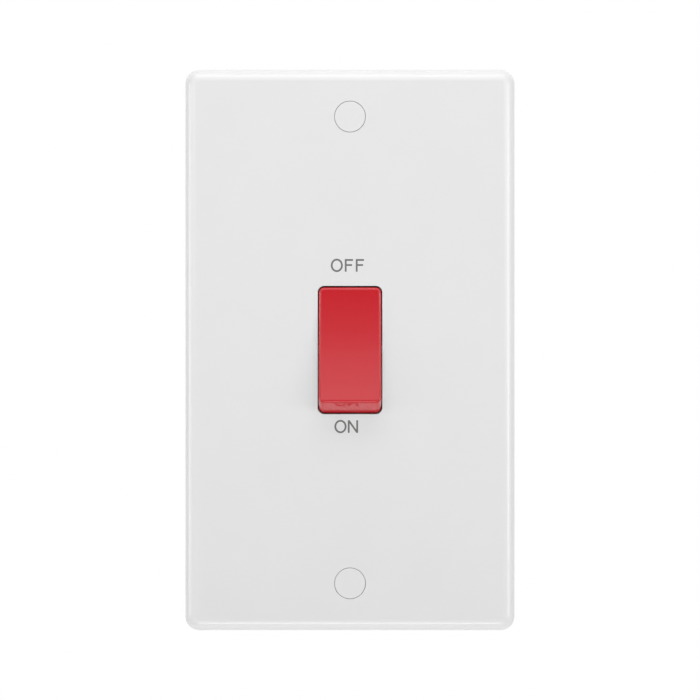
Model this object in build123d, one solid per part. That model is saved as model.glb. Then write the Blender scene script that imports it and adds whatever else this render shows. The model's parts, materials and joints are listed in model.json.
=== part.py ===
from build123d import *
import math
import os

os.makedirs("parts", exist_ok=True)

# Double-pole cooker switch on a tall two-gang plate, with one red rocker.
# Sizes are in millimetres and degrees. Every piece is drawn with the plate on its back:
# x to the right, y up the plate, z out of the wall, and z = 0 on the wall.
# stand() then turns it upright, so that the front faces -Y and the top faces +Z.

# Front plate
PLATE_WIDTH = 86.0
PLATE_HEIGHT = 146.0
PLATE_PROJECTION = 9.5
PLATE_WALL = 2.8
PLATE_RIM = 2.5
PLATE_DRAFT = 3.0
PLATE_CORNER_RADIUS = 3.6
PLATE_EDGE_RADIUS = 3.0
HOLLOW_EDGE_RADIUS = 0.8
RIB_THICKNESS = 1.6
RIB_HEIGHT = 2.6
RIB_BASE_GAP = 2.0
HOLD_DOWN_MARGIN = 1.8

# Fixing screws and their caps
FIXING_SPACING = 120.6
FIXING_HOLE_RADIUS = 2.2
FIXING_BOSS_WALL = 2.2
SCREW_HEAD_BORE_RADIUS = 3.6
SCREW_HEAD_BORE_DEPTH = 4.2
CAP_RADIUS = 3.95
CAP_GAP = 0.12
CAP_THICKNESS = 1.2
CAP_SPIGOT_WALL = 0.8
CAP_SPIGOT_LENGTH = 1.6
CAP_EDGE_CHAMFER = 0.15

# Rocker, its opening and its bearing
APERTURE_WIDTH = 16.8
APERTURE_HEIGHT = 33.2
APERTURE_CORNER_RADIUS = 1.5
ROCKER_GAP = 0.35
ROCKER_TILT = 10.0
ROCKER_PRESSED_PROUD = 0.3
ROCKER_DISH_RADIUS = 120.0
ROCKER_EDGE_RADIUS = 0.5
ROCKER_WALL = 1.7
ROCKER_RIM = 1.2
ROCKER_ROOM_CLEARANCE = 0.6
PIVOT_DEPTH = 5.0
TRUNNION_RADIUS = 1.7
TRUNNION_LENGTH = 2.7
TRUNNION_LUG_RADIUS = 3.3
BEARING_CLEARANCE = 0.05
BEARING_SIDE_GAP = 0.7
BEARING_DEPTH = 2.2
BEARING_HALF_HEIGHT = 3.4
BEARING_CHEEK_MARGIN = 1.0

# Spring plungers, one to a pole
POLE_OFFSET = 4.6
BARREL_RADIUS = 3.2
BARREL_REACH = 5.5
BARREL_END_WALL = 1.85
PLUNGER_RADIUS = 2.2
PLUNGER_REACH = 10.5
PLUNGER_GUIDE_LENGTH = 4.5
PLUNGER_NOSE_RADIUS = 1.6
PLUNGER_SPIGOT_RADIUS = 1.2
PLUNGER_SPIGOT_LENGTH = 1.6
PLUNGER_CLEARANCE = 0.06
SPRING_WIRE_RADIUS = 0.25
SPRING_RADIUS = 1.75
SPRING_TURNS = 4.5
SPRING_CHORDS_PER_TURN = 12

# Moving contacts and silver tips
BLADE_WIDTH = 6.4
BLADE_THICKNESS = 1.5
BLADE_HALF_LENGTH = 14.2
BLADE_TILT = 7.5
KNUCKLE_RADIUS = 1.2
TIP_OFFSET = 11.5
TIP_RADIUS = 2.2
TIP_THICKNESS = 1.2
TIP_CHAMFER = 0.3
CONTACT_CLEARANCE = 0.1

# Terminals and their screws
FULCRUM_HEIGHT = 2.8
FULCRUM_LENGTH = 4.4
SADDLE_RIM_DROP = 0.4
TONGUE_WIDTH = 4.4
TONGUE_THICKNESS = 1.6
TONGUE_MARGIN = 0.6
TERMINAL_OFFSET = 8.0
TERMINAL_WIDTH = 12.0
TERMINAL_LENGTH = 15.0
TERMINAL_HEIGHT = 12.0
TERMINAL_START = 17.0
TERMINAL_CHAMFER = 0.5
CABLE_BORE_RADIUS = 3.4
CABLE_BORE_DEPTH = 13.0
CABLE_BORE_WALL = 1.6
TERMINAL_SCREW_RADIUS = 2.5
TERMINAL_SCREW_LENGTH = 7.8
TERMINAL_SCREW_PITCH = 6.4
SCREW_POINT_CHAMFER = 0.5
SCREW_CLEARANCE = 0.05
SLOT_WIDTH = 0.9
SLOT_DEPTH = 1.1
PEDESTAL_HEIGHT = 6.0

# Earth terminal
EARTH_WIDTH = 9.0
EARTH_LENGTH = 16.0
EARTH_HEIGHT = 10.0
EARTH_BORE_RADIUS = 2.7
EARTH_BORE_WALL = 1.5
EARTH_MOUTH_CLEARANCE = 0.7
EARTH_SCREW_RADIUS = 2.0
EARTH_SCREW_LENGTH = 7.0
EARTH_SCREW_PITCH = 8.0
EARTH_FLOOR = -12.6

# Switch base
BASE_WALL = 2.0
BASE_CORNER_RADIUS = 2.5
BASE_EDGE_CHAMFER = 0.7
BARRIER_THICKNESS = 1.4
PARTITION_THICKNESS = 1.5
POCKET_CLEARANCE = 0.25
STOP_OVERLAP = 1.2
PAD_HEIGHT = 2.5
PAD_MARGIN = 0.5
SCREW_ACCESS_CLEARANCE = 0.6
CABLE_MOUTH = 9.4
CABLE_MOUTH_RADIUS = 2.0
EAR_OFFSET_X = 20.0
EAR_OFFSET_Y = 26.0
EAR_RADIUS = 4.0
EAR_THICKNESS = 3.0
EAR_FRONT = 1.0
EAR_HOLE_CLEARANCE = 0.25
BASE_SCREW_RADIUS = 1.45
BASE_SCREW_HEAD_RADIUS = 2.8
BASE_SCREW_HEAD_HEIGHT = 1.9
BASE_SCREW_HEAD_CHAMFER = 0.8
BASE_SCREW_LENGTH = 8.0
BASE_SCREW_BOSS_RADIUS = 3.2
BASE_SCREW_END_GAP = 0.3

# How far a cut runs past the face that it opens
CUT_OVERRUN = 1.0

# Heights and lengths that follow from the sizes above
face_z = PLATE_PROJECTION
inner_z = PLATE_PROJECTION - PLATE_WALL
pivot_z = face_z - PIVOT_DEPTH
sweep_radius = math.hypot(APERTURE_HEIGHT / 2, PIVOT_DEPTH)
rocker_radius = sweep_radius - ROCKER_GAP
rocker_half_width = APERTURE_WIDTH / 2 - ROCKER_GAP
pressed_angle = math.degrees(math.acos((PIVOT_DEPTH + ROCKER_PRESSED_PROUD) / rocker_radius))
crease_angle = math.radians(pressed_angle - ROCKER_TILT)
crease_y = rocker_radius * math.sin(crease_angle)
crease_z = rocker_radius * math.cos(crease_angle)
dish_centre_z = crease_z + math.sqrt(ROCKER_DISH_RADIUS**2 - crease_y**2)
barrel_top = dish_centre_z - ROCKER_DISH_RADIUS - BARREL_END_WALL
barrel_bore_radius = PLUNGER_RADIUS + BEARING_CLEARANCE
plunger_shoulder = PLUNGER_GUIDE_LENGTH - BARREL_REACH
blade_drop = (BLADE_THICKNESS + PLUNGER_NOSE_RADIUS) / math.cos(math.radians(BLADE_TILT))
fulcrum_z = pivot_z - PLUNGER_REACH + PLUNGER_NOSE_RADIUS - blade_drop - PLUNGER_CLEARANCE
tongue_front_z = fulcrum_z - FULCRUM_HEIGHT
tongue_back_z = tongue_front_z - TONGUE_THICKNESS
floor_z = tongue_back_z - PEDESTAL_HEIGHT
base_back_z = floor_z - BASE_WALL
pad_back_z = base_back_z - PAD_HEIGHT
terminal_front_z = floor_z + TERMINAL_HEIGHT
bore_z = terminal_front_z - CABLE_BORE_WALL - CABLE_BORE_RADIUS
terminal_middle = TERMINAL_START + TERMINAL_LENGTH / 2
terminal_end = TERMINAL_START + TERMINAL_LENGTH
base_inner_x = TERMINAL_OFFSET + TERMINAL_WIDTH / 2 + POCKET_CLEARANCE
base_inner_y = terminal_end + POCKET_CLEARANCE
base_half_width = base_inner_x + BASE_WALL
base_half_height = base_inner_y + BASE_WALL
chamber_y = TERMINAL_START - POCKET_CLEARANCE - PARTITION_THICKNESS
bearing_start = rocker_half_width + BEARING_SIDE_GAP
bearing_end = bearing_start + BEARING_DEPTH
bearing_radius = TRUNNION_RADIUS + BEARING_CLEARANCE
earth_x = -(base_half_width + POCKET_CLEARANCE + EARTH_WIDTH / 2)
earth_front_z = EARTH_FLOOR + EARTH_HEIGHT
earth_bore_z = earth_front_z - EARTH_BORE_WALL - EARTH_BORE_RADIUS
cap_seat_radius = CAP_RADIUS + CAP_GAP
cap_back_z = face_z - CAP_THICKNESS
fixing_boss_radius = cap_seat_radius + FIXING_BOSS_WALL
ear_back_z = EAR_FRONT - EAR_THICKNESS

POLES = {"live": 1, "neutral": -1}
ENDS = (1, -1)


def stand(shape):
    """Turn a piece from lying on its back to standing upright on the wall."""
    return Plane.XZ * shape


def span(x0, x1, y0, y1, z0, z1):
    """A block between two corners."""
    block = Box(abs(x1 - x0), abs(y1 - y0), abs(z1 - z0))
    return Pos((x0 + x1) / 2, (y0 + y1) / 2, (z0 + z1) / 2) * block


def post(x, y, z0, z1, radius):
    """A round post along z."""
    return Pos(x, y, (z0 + z1) / 2) * Cylinder(radius, z1 - z0)


def bar_x(y, z, radius, length, x=0):
    """A round bar along x."""
    return Pos(x, y, z) * Rot(0, 90, 0) * Cylinder(radius, length)


def bar_y(x, z, radius, y0, y1):
    """A round bar along y."""
    return Pos(x, (y0 + y1) / 2, z) * Rot(90, 0, 0) * Cylinder(radius, abs(y1 - y0))


def rib_along_x(x0, x1, y, z0, z1):
    """A thin rib along x."""
    return span(x0, x1, y - RIB_THICKNESS / 2, y + RIB_THICKNESS / 2, z0, z1)


def rib_along_y(x, y0, y1, z0, z1):
    """A thin rib along y."""
    return span(x - RIB_THICKNESS / 2, x + RIB_THICKNESS / 2, y0, y1, z0, z1)


def drafted_block(width, height, depth, corner, edge):
    """A rounded block that narrows toward the front."""
    block = extrude(Rectangle(width, height), depth, taper=PLATE_DRAFT)
    corners = [e for e in block.edges() if abs(e.tangent_at(0.5).Z) > 0.5]
    block = fillet(corners, corner)
    return fillet(block.edges().group_by(Axis.Z)[-1], edge)


def rocker_block(radius, half_width, corner, low, high):
    """The space a rocker of this size fills about its pivot, between two heights."""
    disc = Circle(radius) & Pos(0, (low + high) / 2) * Rectangle(4 * radius, high - low)
    block = extrude(Plane.YZ * disc, half_width, both=True)
    ends = block.edges().filter_by(lambda e: e.geom_type == GeomType.CIRCLE)
    return fillet(ends, corner)


def make_front_plate():
    """The moulded plate: a drafted shell with ribs, bosses, bearings and hold-down legs behind."""
    plate = drafted_block(
        PLATE_WIDTH, PLATE_HEIGHT, PLATE_PROJECTION, PLATE_CORNER_RADIUS, PLATE_EDGE_RADIUS
    )
    hollow_width = PLATE_WIDTH - 2 * PLATE_RIM
    hollow_height = PLATE_HEIGHT - 2 * PLATE_RIM
    hollow_corner = PLATE_CORNER_RADIUS - PLATE_RIM
    hollow = drafted_block(hollow_width, hollow_height, inner_z, hollow_corner, HOLLOW_EDGE_RADIUS)
    plate = plate - hollow + (plate_ribs() & hollow)
    terminal_leg = TERMINAL_WIDTH - 2 * HOLD_DOWN_MARGIN
    for side in ENDS:
        plate += bearing_cheek(side)
        for end in ENDS:
            plate += post(side * EAR_OFFSET_X, end * EAR_OFFSET_Y, EAR_FRONT, inner_z, BASE_SCREW_BOSS_RADIUS)
            plate += hold_down(side * TERMINAL_OFFSET, end * terminal_middle, terminal_front_z, terminal_leg)
    plate += hold_down(earth_x, 0, earth_front_z, EARTH_WIDTH - 2 * HOLD_DOWN_MARGIN)
    aperture = rocker_block(sweep_radius, APERTURE_WIDTH / 2, APERTURE_CORNER_RADIUS, 0, 2 * PIVOT_DEPTH)
    plate -= Pos(0, 0, pivot_z) * aperture
    for end in ENDS:
        plate -= fixing_recess(end * FIXING_SPACING / 2)
        for side in ENDS:
            plate -= base_screw_pilot(side * EAR_OFFSET_X, end * EAR_OFFSET_Y)
    return plate


def plate_ribs():
    """Fixing bosses and the ribs that stiffen the plate about them."""
    ribs = Part()
    rib_back = inner_z - RIB_HEIGHT
    for end in ENDS:
        y = end * FIXING_SPACING / 2
        ribs += post(0, y, 0, inner_z, fixing_boss_radius)
        ribs += rib_along_x(-PLATE_WIDTH / 2, PLATE_WIDTH / 2, y, rib_back, inner_z)
        rib_start = end * (base_half_height + RIB_BASE_GAP)
        ribs += rib_along_y(0, rib_start, end * PLATE_HEIGHT / 2, rib_back, inner_z)
    return ribs


def bearing_cheek(side):
    """The front half of a trunnion bearing, behind the plate."""
    half = BEARING_HALF_HEIGHT + BEARING_CHEEK_MARGIN
    cheek = span(side * bearing_start, side * bearing_end, -half, half, pivot_z, inner_z)
    return cheek - bar_x(0, pivot_z, bearing_radius, 4 * bearing_end)


def hold_down(x, y, z, size):
    """A cross-shaped leg that keeps a terminal in its pocket."""
    back = z + CONTACT_CLEARANCE
    leg = rib_along_x(x - size / 2, x + size / 2, y, back, inner_z)
    return leg + rib_along_y(x, y - size / 2, y + size / 2, back, inner_z)


def fixing_recess(y):
    """Cap seat, screw head bore and screw hole, from the front to the wall."""
    recess = post(0, y, cap_back_z, face_z + CUT_OVERRUN, cap_seat_radius)
    recess += post(0, y, face_z - SCREW_HEAD_BORE_DEPTH, face_z, SCREW_HEAD_BORE_RADIUS)
    return recess + post(0, y, -CUT_OVERRUN, face_z, FIXING_HOLE_RADIUS)


def base_screw_pilot(x, y):
    """The blind hole in a boss that a base screw bites into."""
    front = ear_back_z + BASE_SCREW_LENGTH + BASE_SCREW_END_GAP
    return post(x, y, EAR_FRONT - CUT_OVERRUN, front, BASE_SCREW_RADIUS + SCREW_CLEARANCE)


def make_screw_cap(end):
    """A thin disc with a short tubular spigot that presses into the screw head bore."""
    y = end * FIXING_SPACING / 2
    disc = post(0, y, cap_back_z, face_z, CAP_RADIUS)
    disc = chamfer(disc.edges().group_by(Axis.Z)[-1], CAP_EDGE_CHAMFER)
    spigot_radius = SCREW_HEAD_BORE_RADIUS - SCREW_CLEARANCE
    spigot_back = cap_back_z - CAP_SPIGOT_LENGTH
    spigot = post(0, y, spigot_back, cap_back_z, spigot_radius)
    spigot -= post(0, y, spigot_back, cap_back_z, spigot_radius - CAP_SPIGOT_WALL)
    return disc + spigot


def make_rocker():
    """The rocker about its pivot, level, before it is tilted into place."""
    corner = APERTURE_CORNER_RADIUS - ROCKER_GAP
    body = rocker_block(rocker_radius, rocker_half_width, corner, ROCKER_RIM, 2 * rocker_radius)
    body -= Pos(0, 0, dish_centre_z) * Rot(0, 90, 0) * Cylinder(ROCKER_DISH_RADIUS, 4 * rocker_half_width)
    dish = body.faces().sort_by(Axis.Z)[-1]
    body = fillet(dish.edges(), ROCKER_EDGE_RADIUS)
    front_half = Pos(0, rocker_radius) * Rectangle(4 * rocker_radius, 2 * rocker_radius)
    inner = Circle(rocker_radius - ROCKER_WALL) & front_half
    inner -= Pos(0, dish_centre_z) * Circle(ROCKER_DISH_RADIUS + ROCKER_WALL)
    body -= extrude(Plane.YZ * inner, rocker_half_width - ROCKER_WALL, both=True)
    for side in ENDS:
        lug = bar_x(0, 0, TRUNNION_LUG_RADIUS, ROCKER_WALL, side * (rocker_half_width - ROCKER_WALL / 2))
        trunnion_x = side * (rocker_half_width + TRUNNION_LENGTH / 2)
        body += lug + bar_x(0, 0, TRUNNION_RADIUS, TRUNNION_LENGTH, trunnion_x)
        body += post(side * POLE_OFFSET, 0, -BARREL_REACH, barrel_top + BARREL_END_WALL / 2, BARREL_RADIUS)
    for side in ENDS:
        body -= post(side * POLE_OFFSET, 0, -BARREL_REACH - CUT_OVERRUN, barrel_top, barrel_bore_radius)
    return body


def make_plunger():
    """A round-nosed plunger on its own axis, below the pivot."""
    nose_z = PLUNGER_NOSE_RADIUS - PLUNGER_REACH
    plunger = post(0, 0, -BARREL_REACH, plunger_shoulder, PLUNGER_RADIUS)
    plunger += post(0, 0, nose_z, -BARREL_REACH, PLUNGER_NOSE_RADIUS)
    plunger += Pos(0, 0, nose_z) * Sphere(PLUNGER_NOSE_RADIUS)
    spigot_end = plunger_shoulder + PLUNGER_SPIGOT_LENGTH
    return plunger + post(0, 0, plunger_shoulder, spigot_end, PLUNGER_SPIGOT_RADIUS)


def make_spring():
    """A coil spring with flat ends, from the plunger's shoulder to the end of its barrel."""
    length = barrel_top - plunger_shoulder
    pitch = length / SPRING_TURNS
    turn_angle = 2 * math.pi / SPRING_CHORDS_PER_TURN
    chords = math.ceil((SPRING_TURNS + 1) * SPRING_CHORDS_PER_TURN)
    start = plunger_shoulder - pitch / 2
    points = [
        (
            SPRING_RADIUS * math.cos(step * turn_angle),
            SPRING_RADIUS * math.sin(step * turn_angle),
            start + step * pitch / SPRING_CHORDS_PER_TURN,
        )
        for step in range(chords + 1)
    ]
    coil = Polyline(*points)
    wire = Plane(coil @ 0, z_dir=coil % 0) * RegularPolygon(SPRING_WIRE_RADIUS, 6)
    spring = sweep(wire, path=coil, transition=Transition.RIGHT)
    half = 2 * SPRING_RADIUS
    return spring & span(-half, half, -half, half, plunger_shoulder, barrel_top)


def tilt_with_rocker(shape):
    """Carry a piece from the rocker's level frame to its OFF position."""
    return Pos(0, 0, pivot_z) * Rot(-ROCKER_TILT, 0, 0) * shape


def blade_arm(shape):
    """Lay a piece drawn on a level arm along the arm's own slope."""
    return Rot(BLADE_TILT, 0, 0) * shape


def place_blade(pole, shape):
    """Carry a moving contact to its pole, in its OFF position."""
    return Pos(pole * POLE_OFFSET, 0, fulcrum_z) * Rot(BLADE_TILT, 0, 0) * shape


def make_blade():
    """A shallow V of copper strip with a round knuckle under its middle."""
    half = BLADE_WIDTH / 2
    arm = blade_arm(span(-half, half, 0, BLADE_HALF_LENGTH, 0, BLADE_THICKNESS))
    return arm + mirror(arm, about=Plane.XZ) + bar_x(0, 0, KNUCKLE_RADIUS, BLADE_WIDTH)


def make_tip(thickness):
    """A silver tip that stands on z = 0, with a bevelled face."""
    tip = post(0, 0, 0, thickness, TIP_RADIUS)
    return chamfer(tip.edges().group_by(Axis.Z)[-1], TIP_CHAMFER)


def make_moving_tip():
    """The tip under the upper arm of a moving contact."""
    return blade_arm(Pos(0, TIP_OFFSET, 0) * Rot(180, 0, 0) * make_tip(TIP_THICKNESS))


def terminal_screw_positions(end):
    """Distances up the plate of a terminal's two screws."""
    middle = terminal_end - CABLE_BORE_DEPTH / 2
    return [end * (middle + step * TERMINAL_SCREW_PITCH / 2) for step in ENDS]


def make_terminal_block(pole, end):
    """A brass block with a blind cable bore and two screw holes."""
    x = pole * TERMINAL_OFFSET
    half = TERMINAL_WIDTH / 2
    block = span(x - half, x + half, end * TERMINAL_START, end * terminal_end, floor_z, terminal_front_z)
    block = chamfer(block.edges(), TERMINAL_CHAMFER)
    bore_start = end * (terminal_end - CABLE_BORE_DEPTH)
    block -= bar_y(x, bore_z, CABLE_BORE_RADIUS, bore_start, end * (terminal_end + CUT_OVERRUN))
    for y in terminal_screw_positions(end):
        block -= post(x, y, floor_z - CUT_OVERRUN, bore_z, TERMINAL_SCREW_RADIUS + SCREW_CLEARANCE)
    return block


def tongue(pole, y0, y1):
    """The strip that runs from a terminal block toward the contacts."""
    x = pole * POLE_OFFSET
    half = TONGUE_WIDTH / 2
    return span(x - half, x + half, y0, y1, tongue_back_z, tongue_front_z)


def make_supply_terminal(pole):
    """The lower terminal of a pole, with the saddle that its moving contact rocks on."""
    x = pole * POLE_OFFSET
    half = TONGUE_WIDTH / 2
    saddle_end = FULCRUM_LENGTH / 2
    saddle_front = fulcrum_z - SADDLE_RIM_DROP
    saddle = span(x - half, x + half, -saddle_end, saddle_end, tongue_front_z, saddle_front)
    saddle -= bar_x(0, fulcrum_z, KNUCKLE_RADIUS + BEARING_CLEARANCE, 4 * TERMINAL_OFFSET)
    strip = tongue(pole, -TERMINAL_START - TERMINAL_CHAMFER, saddle_end)
    return make_terminal_block(pole, -1) + strip + saddle


def make_load_terminal(pole):
    """The upper terminal of a pole, whose tongue carries the fixed tip."""
    tongue_start = TIP_OFFSET - TIP_RADIUS - TONGUE_MARGIN
    return make_terminal_block(pole, 1) + tongue(pole, tongue_start, TERMINAL_START + TERMINAL_CHAMFER)


def make_fixed_tip(pole):
    """The tip on a load terminal's tongue, which the moving tip meets."""
    thickness = FULCRUM_HEIGHT - TIP_THICKNESS - CONTACT_CLEARANCE
    return Pos(pole * POLE_OFFSET, TIP_OFFSET, tongue_front_z) * make_tip(thickness)


def make_slotted_screw(radius, length):
    """A headless slotted screw along z, slot at the back, with its point at z = 0."""
    screw = post(0, 0, -length, 0, radius)
    screw = chamfer(screw.edges().group_by(Axis.Z)[-1], SCREW_POINT_CHAMFER)
    slot_start = -length - CUT_OVERRUN
    return screw - span(-radius, radius, -SLOT_WIDTH / 2, SLOT_WIDTH / 2, slot_start, SLOT_DEPTH - length)


def make_terminal_screws():
    """Two screws in each of the four terminals."""
    screw = make_slotted_screw(TERMINAL_SCREW_RADIUS, TERMINAL_SCREW_LENGTH)
    point_z = bore_z - CABLE_BORE_RADIUS - SCREW_CLEARANCE
    places = [
        Pos(pole * TERMINAL_OFFSET, y, point_z)
        for pole in POLES.values()
        for end in ENDS
        for y in terminal_screw_positions(end)
    ]
    return Compound([place * screw for place in places])


def make_earth_terminal():
    """A brass block with a cable bore right through it."""
    x0 = earth_x - EARTH_WIDTH / 2
    x1 = earth_x + EARTH_WIDTH / 2
    block = span(x0, x1, -EARTH_LENGTH / 2, EARTH_LENGTH / 2, EARTH_FLOOR, earth_front_z)
    block = chamfer(block.edges(), TERMINAL_CHAMFER)
    block -= bar_y(earth_x, earth_bore_z, EARTH_BORE_RADIUS, -EARTH_LENGTH, EARTH_LENGTH)
    screw_hole_radius = EARTH_SCREW_RADIUS + SCREW_CLEARANCE
    for step in ENDS:
        y = step * EARTH_SCREW_PITCH / 2
        block -= post(earth_x, y, EARTH_FLOOR - CUT_OVERRUN, earth_bore_z, screw_hole_radius)
    return block


def make_earth_screws():
    """The two screws of the earth terminal."""
    screw = make_slotted_screw(EARTH_SCREW_RADIUS, EARTH_SCREW_LENGTH)
    point_z = earth_bore_z - EARTH_BORE_RADIUS - SCREW_CLEARANCE
    return Compound([Pos(earth_x, step * EARTH_SCREW_PITCH / 2, point_z) * screw for step in ENDS])


def make_base_screws():
    """Four slotted pan-head screws that hold the base to the plate."""
    head_back = ear_back_z - BASE_SCREW_HEAD_HEIGHT
    head = post(0, 0, head_back, ear_back_z, BASE_SCREW_HEAD_RADIUS)
    head = chamfer(head.edges().group_by(Axis.Z)[0], BASE_SCREW_HEAD_CHAMFER)
    screw = head + post(0, 0, ear_back_z, ear_back_z + BASE_SCREW_LENGTH, BASE_SCREW_RADIUS)
    reach = BASE_SCREW_HEAD_RADIUS
    slot_half = SLOT_WIDTH / 2
    screw -= span(-reach, reach, -slot_half, slot_half, head_back - CUT_OVERRUN, head_back + SLOT_DEPTH)
    places = [Pos(side * EAR_OFFSET_X, end * EAR_OFFSET_Y, 0) for side in ENDS for end in ENDS]
    return Compound([place * screw for place in places])


def base_shell():
    """The outer moulding: box, rear pads, ears and earth cradle, still solid."""
    outline = RectangleRounded(2 * base_half_width, 2 * base_half_height, BASE_CORNER_RADIUS)
    shell = Pos(0, 0, base_back_z) * extrude(outline, inner_z - base_back_z)
    shell = chamfer(shell.edges().group_by(Axis.Z)[0], BASE_EDGE_CHAMFER)
    pad_outline = RectangleRounded(TERMINAL_WIDTH + 2 * PAD_MARGIN, TERMINAL_LENGTH, BASE_CORNER_RADIUS)
    pad = extrude(pad_outline, PAD_HEIGHT)
    pad = chamfer(pad.edges().group_by(Axis.Z)[0], BASE_EDGE_CHAMFER)
    for side in ENDS:
        for end in ENDS:
            shell += Pos(side * TERMINAL_OFFSET, end * terminal_middle, pad_back_z) * pad
            shell += ear(side, end)
    wall_x = earth_x - EARTH_WIDTH / 2 - POCKET_CLEARANCE - BASE_WALL
    wall_y = EARTH_LENGTH / 2 + POCKET_CLEARANCE + BASE_WALL
    root_x = -base_half_width + BASE_WALL / 2
    return shell + span(wall_x, root_x, -wall_y, wall_y, EARTH_FLOOR - BASE_WALL, earth_front_z)


def ear(side, end):
    """A drilled lug that a base screw passes through."""
    x = side * EAR_OFFSET_X
    y = end * EAR_OFFSET_Y
    root_x = side * (base_half_width - BASE_WALL / 2)
    lug = post(x, y, ear_back_z, EAR_FRONT, EAR_RADIUS)
    lug += span(root_x, x, y - EAR_RADIUS, y + EAR_RADIUS, ear_back_z, EAR_FRONT)
    return lug - post(x, y, ear_back_z, EAR_FRONT, BASE_SCREW_RADIUS + EAR_HOLE_CLEARANCE)


def base_rooms(pole):
    """Contact chamber and terminal pockets of one pole, cut from the shell."""
    x0 = pole * BARRIER_THICKNESS / 2
    x1 = pole * base_inner_x
    rooms = span(x0, x1, -chamber_y, chamber_y, floor_z, inner_z)
    slot_half = TONGUE_WIDTH / 2 + POCKET_CLEARANCE
    slot_x = pole * POLE_OFFSET
    mouth = RectangleRounded(CABLE_MOUTH, CABLE_MOUTH, CABLE_MOUTH_RADIUS)
    mouth = extrude(Plane.XZ * mouth, 2 * BASE_WALL, both=True)
    screw_access = TERMINAL_SCREW_RADIUS + SCREW_ACCESS_CLEARANCE
    for end in ENDS:
        pocket_start = end * (TERMINAL_START - POCKET_CLEARANCE)
        rooms += span(x0, x1, pocket_start, end * base_inner_y, floor_z, inner_z)
        rooms += span(slot_x - slot_half, slot_x + slot_half, 0, pocket_start, tongue_back_z, inner_z)
        rooms += Pos(pole * TERMINAL_OFFSET, end * base_half_height, bore_z) * mouth
        for y in terminal_screw_positions(end):
            rooms += post(
                pole * TERMINAL_OFFSET, y, pad_back_z - CUT_OVERRUN, floor_z + CUT_OVERRUN, screw_access
            )
    return rooms


def base_supports(pole):
    """Pedestals, stop shoulders and bearing posts that stand in a pole's chamber."""
    x = pole * POLE_OFFSET
    half = TONGUE_WIDTH / 2
    supports = span(x - half, x + half, -chamber_y, FULCRUM_LENGTH / 2, floor_z, tongue_back_z)
    supports += span(x - half, x + half, TIP_OFFSET - TIP_RADIUS, chamber_y, floor_z, tongue_back_z)
    stop_half = BLADE_WIDTH / 2
    stop_start = STOP_OVERLAP - BLADE_HALF_LENGTH
    stop_z = fulcrum_z - CONTACT_CLEARANCE
    stops = span(x - stop_half, x + stop_half, -chamber_y, stop_start, floor_z, stop_z)
    slot_half = half + POCKET_CLEARANCE
    slot_start = -chamber_y - CUT_OVERRUN
    stops -= span(x - slot_half, x + slot_half, slot_start, 0, tongue_back_z, stop_z + CUT_OVERRUN)
    bearing_half = BEARING_HALF_HEIGHT
    bearing_front = pivot_z - CONTACT_CLEARANCE
    x0 = pole * bearing_start
    x1 = pole * base_inner_x
    bearing = span(x0, x1, -bearing_half, bearing_half, floor_z, bearing_front)
    bearing -= bar_x(0, pivot_z, bearing_radius, 4 * base_half_width)
    return supports + stops + bearing


def earth_room():
    """The earth terminal's pocket, its cable mouths and its screw holes."""
    half_x = EARTH_WIDTH / 2 + POCKET_CLEARANCE
    half_y = EARTH_LENGTH / 2 + POCKET_CLEARANCE
    room = span(earth_x - half_x, earth_x + half_x, -half_y, half_y, EARTH_FLOOR, earth_front_z)
    mouth = EARTH_BORE_RADIUS + EARTH_MOUTH_CLEARANCE
    mouth_back = earth_bore_z - mouth
    room += span(earth_x - mouth, earth_x + mouth, -2 * half_y, 2 * half_y, mouth_back, earth_front_z)
    access = EARTH_SCREW_RADIUS + SCREW_ACCESS_CLEARANCE
    for step in ENDS:
        y = step * EARTH_SCREW_PITCH / 2
        room += post(earth_x, y, EARTH_FLOOR - 2 * BASE_WALL, EARTH_FLOOR, access)
    return room


def make_switch_base():
    """The moulded base that holds the terminals and contacts behind the plate."""
    base = base_shell() - earth_room()
    for pole in POLES.values():
        base -= base_rooms(pole)
    room_x = rocker_half_width + ROCKER_ROOM_CLEARANCE
    room_y = rocker_radius + 2 * ROCKER_ROOM_CLEARANCE
    room_back = pivot_z - TRUNNION_LUG_RADIUS - ROCKER_ROOM_CLEARANCE
    base -= span(-room_x, room_x, -room_y, room_y, room_back, inner_z + CUT_OVERRUN)
    for pole in POLES.values():
        base += base_supports(pole)
    return base


pieces = {
    "front_plate": make_front_plate(),
    "upper_screw_cap": make_screw_cap(1),
    "lower_screw_cap": make_screw_cap(-1),
    "rocker": tilt_with_rocker(make_rocker()),
    "switch_base": make_switch_base(),
    "base_screws": make_base_screws(),
    "terminal_screws": make_terminal_screws(),
    "earth_terminal": make_earth_terminal(),
    "earth_screws": make_earth_screws(),
}
for name, pole in POLES.items():
    in_barrel = Pos(pole * POLE_OFFSET, 0, 0)
    pieces[name + "_plunger"] = tilt_with_rocker(in_barrel * make_plunger())
    pieces[name + "_spring"] = tilt_with_rocker(in_barrel * make_spring())
    pieces[name + "_moving_contact"] = place_blade(pole, make_blade())
    pieces[name + "_moving_tip"] = place_blade(pole, make_moving_tip())
    pieces[name + "_supply_terminal"] = make_supply_terminal(pole)
    pieces[name + "_load_terminal"] = make_load_terminal(pole)
    pieces[name + "_fixed_tip"] = make_fixed_tip(pole)

for name, piece in pieces.items():
    export_step(stand(piece), f"parts/{name}.step")
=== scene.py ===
import json
import math

import bpy
from bpy.props import FloatProperty, FloatVectorProperty, PointerProperty
from mathutils import Matrix, Vector


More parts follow.
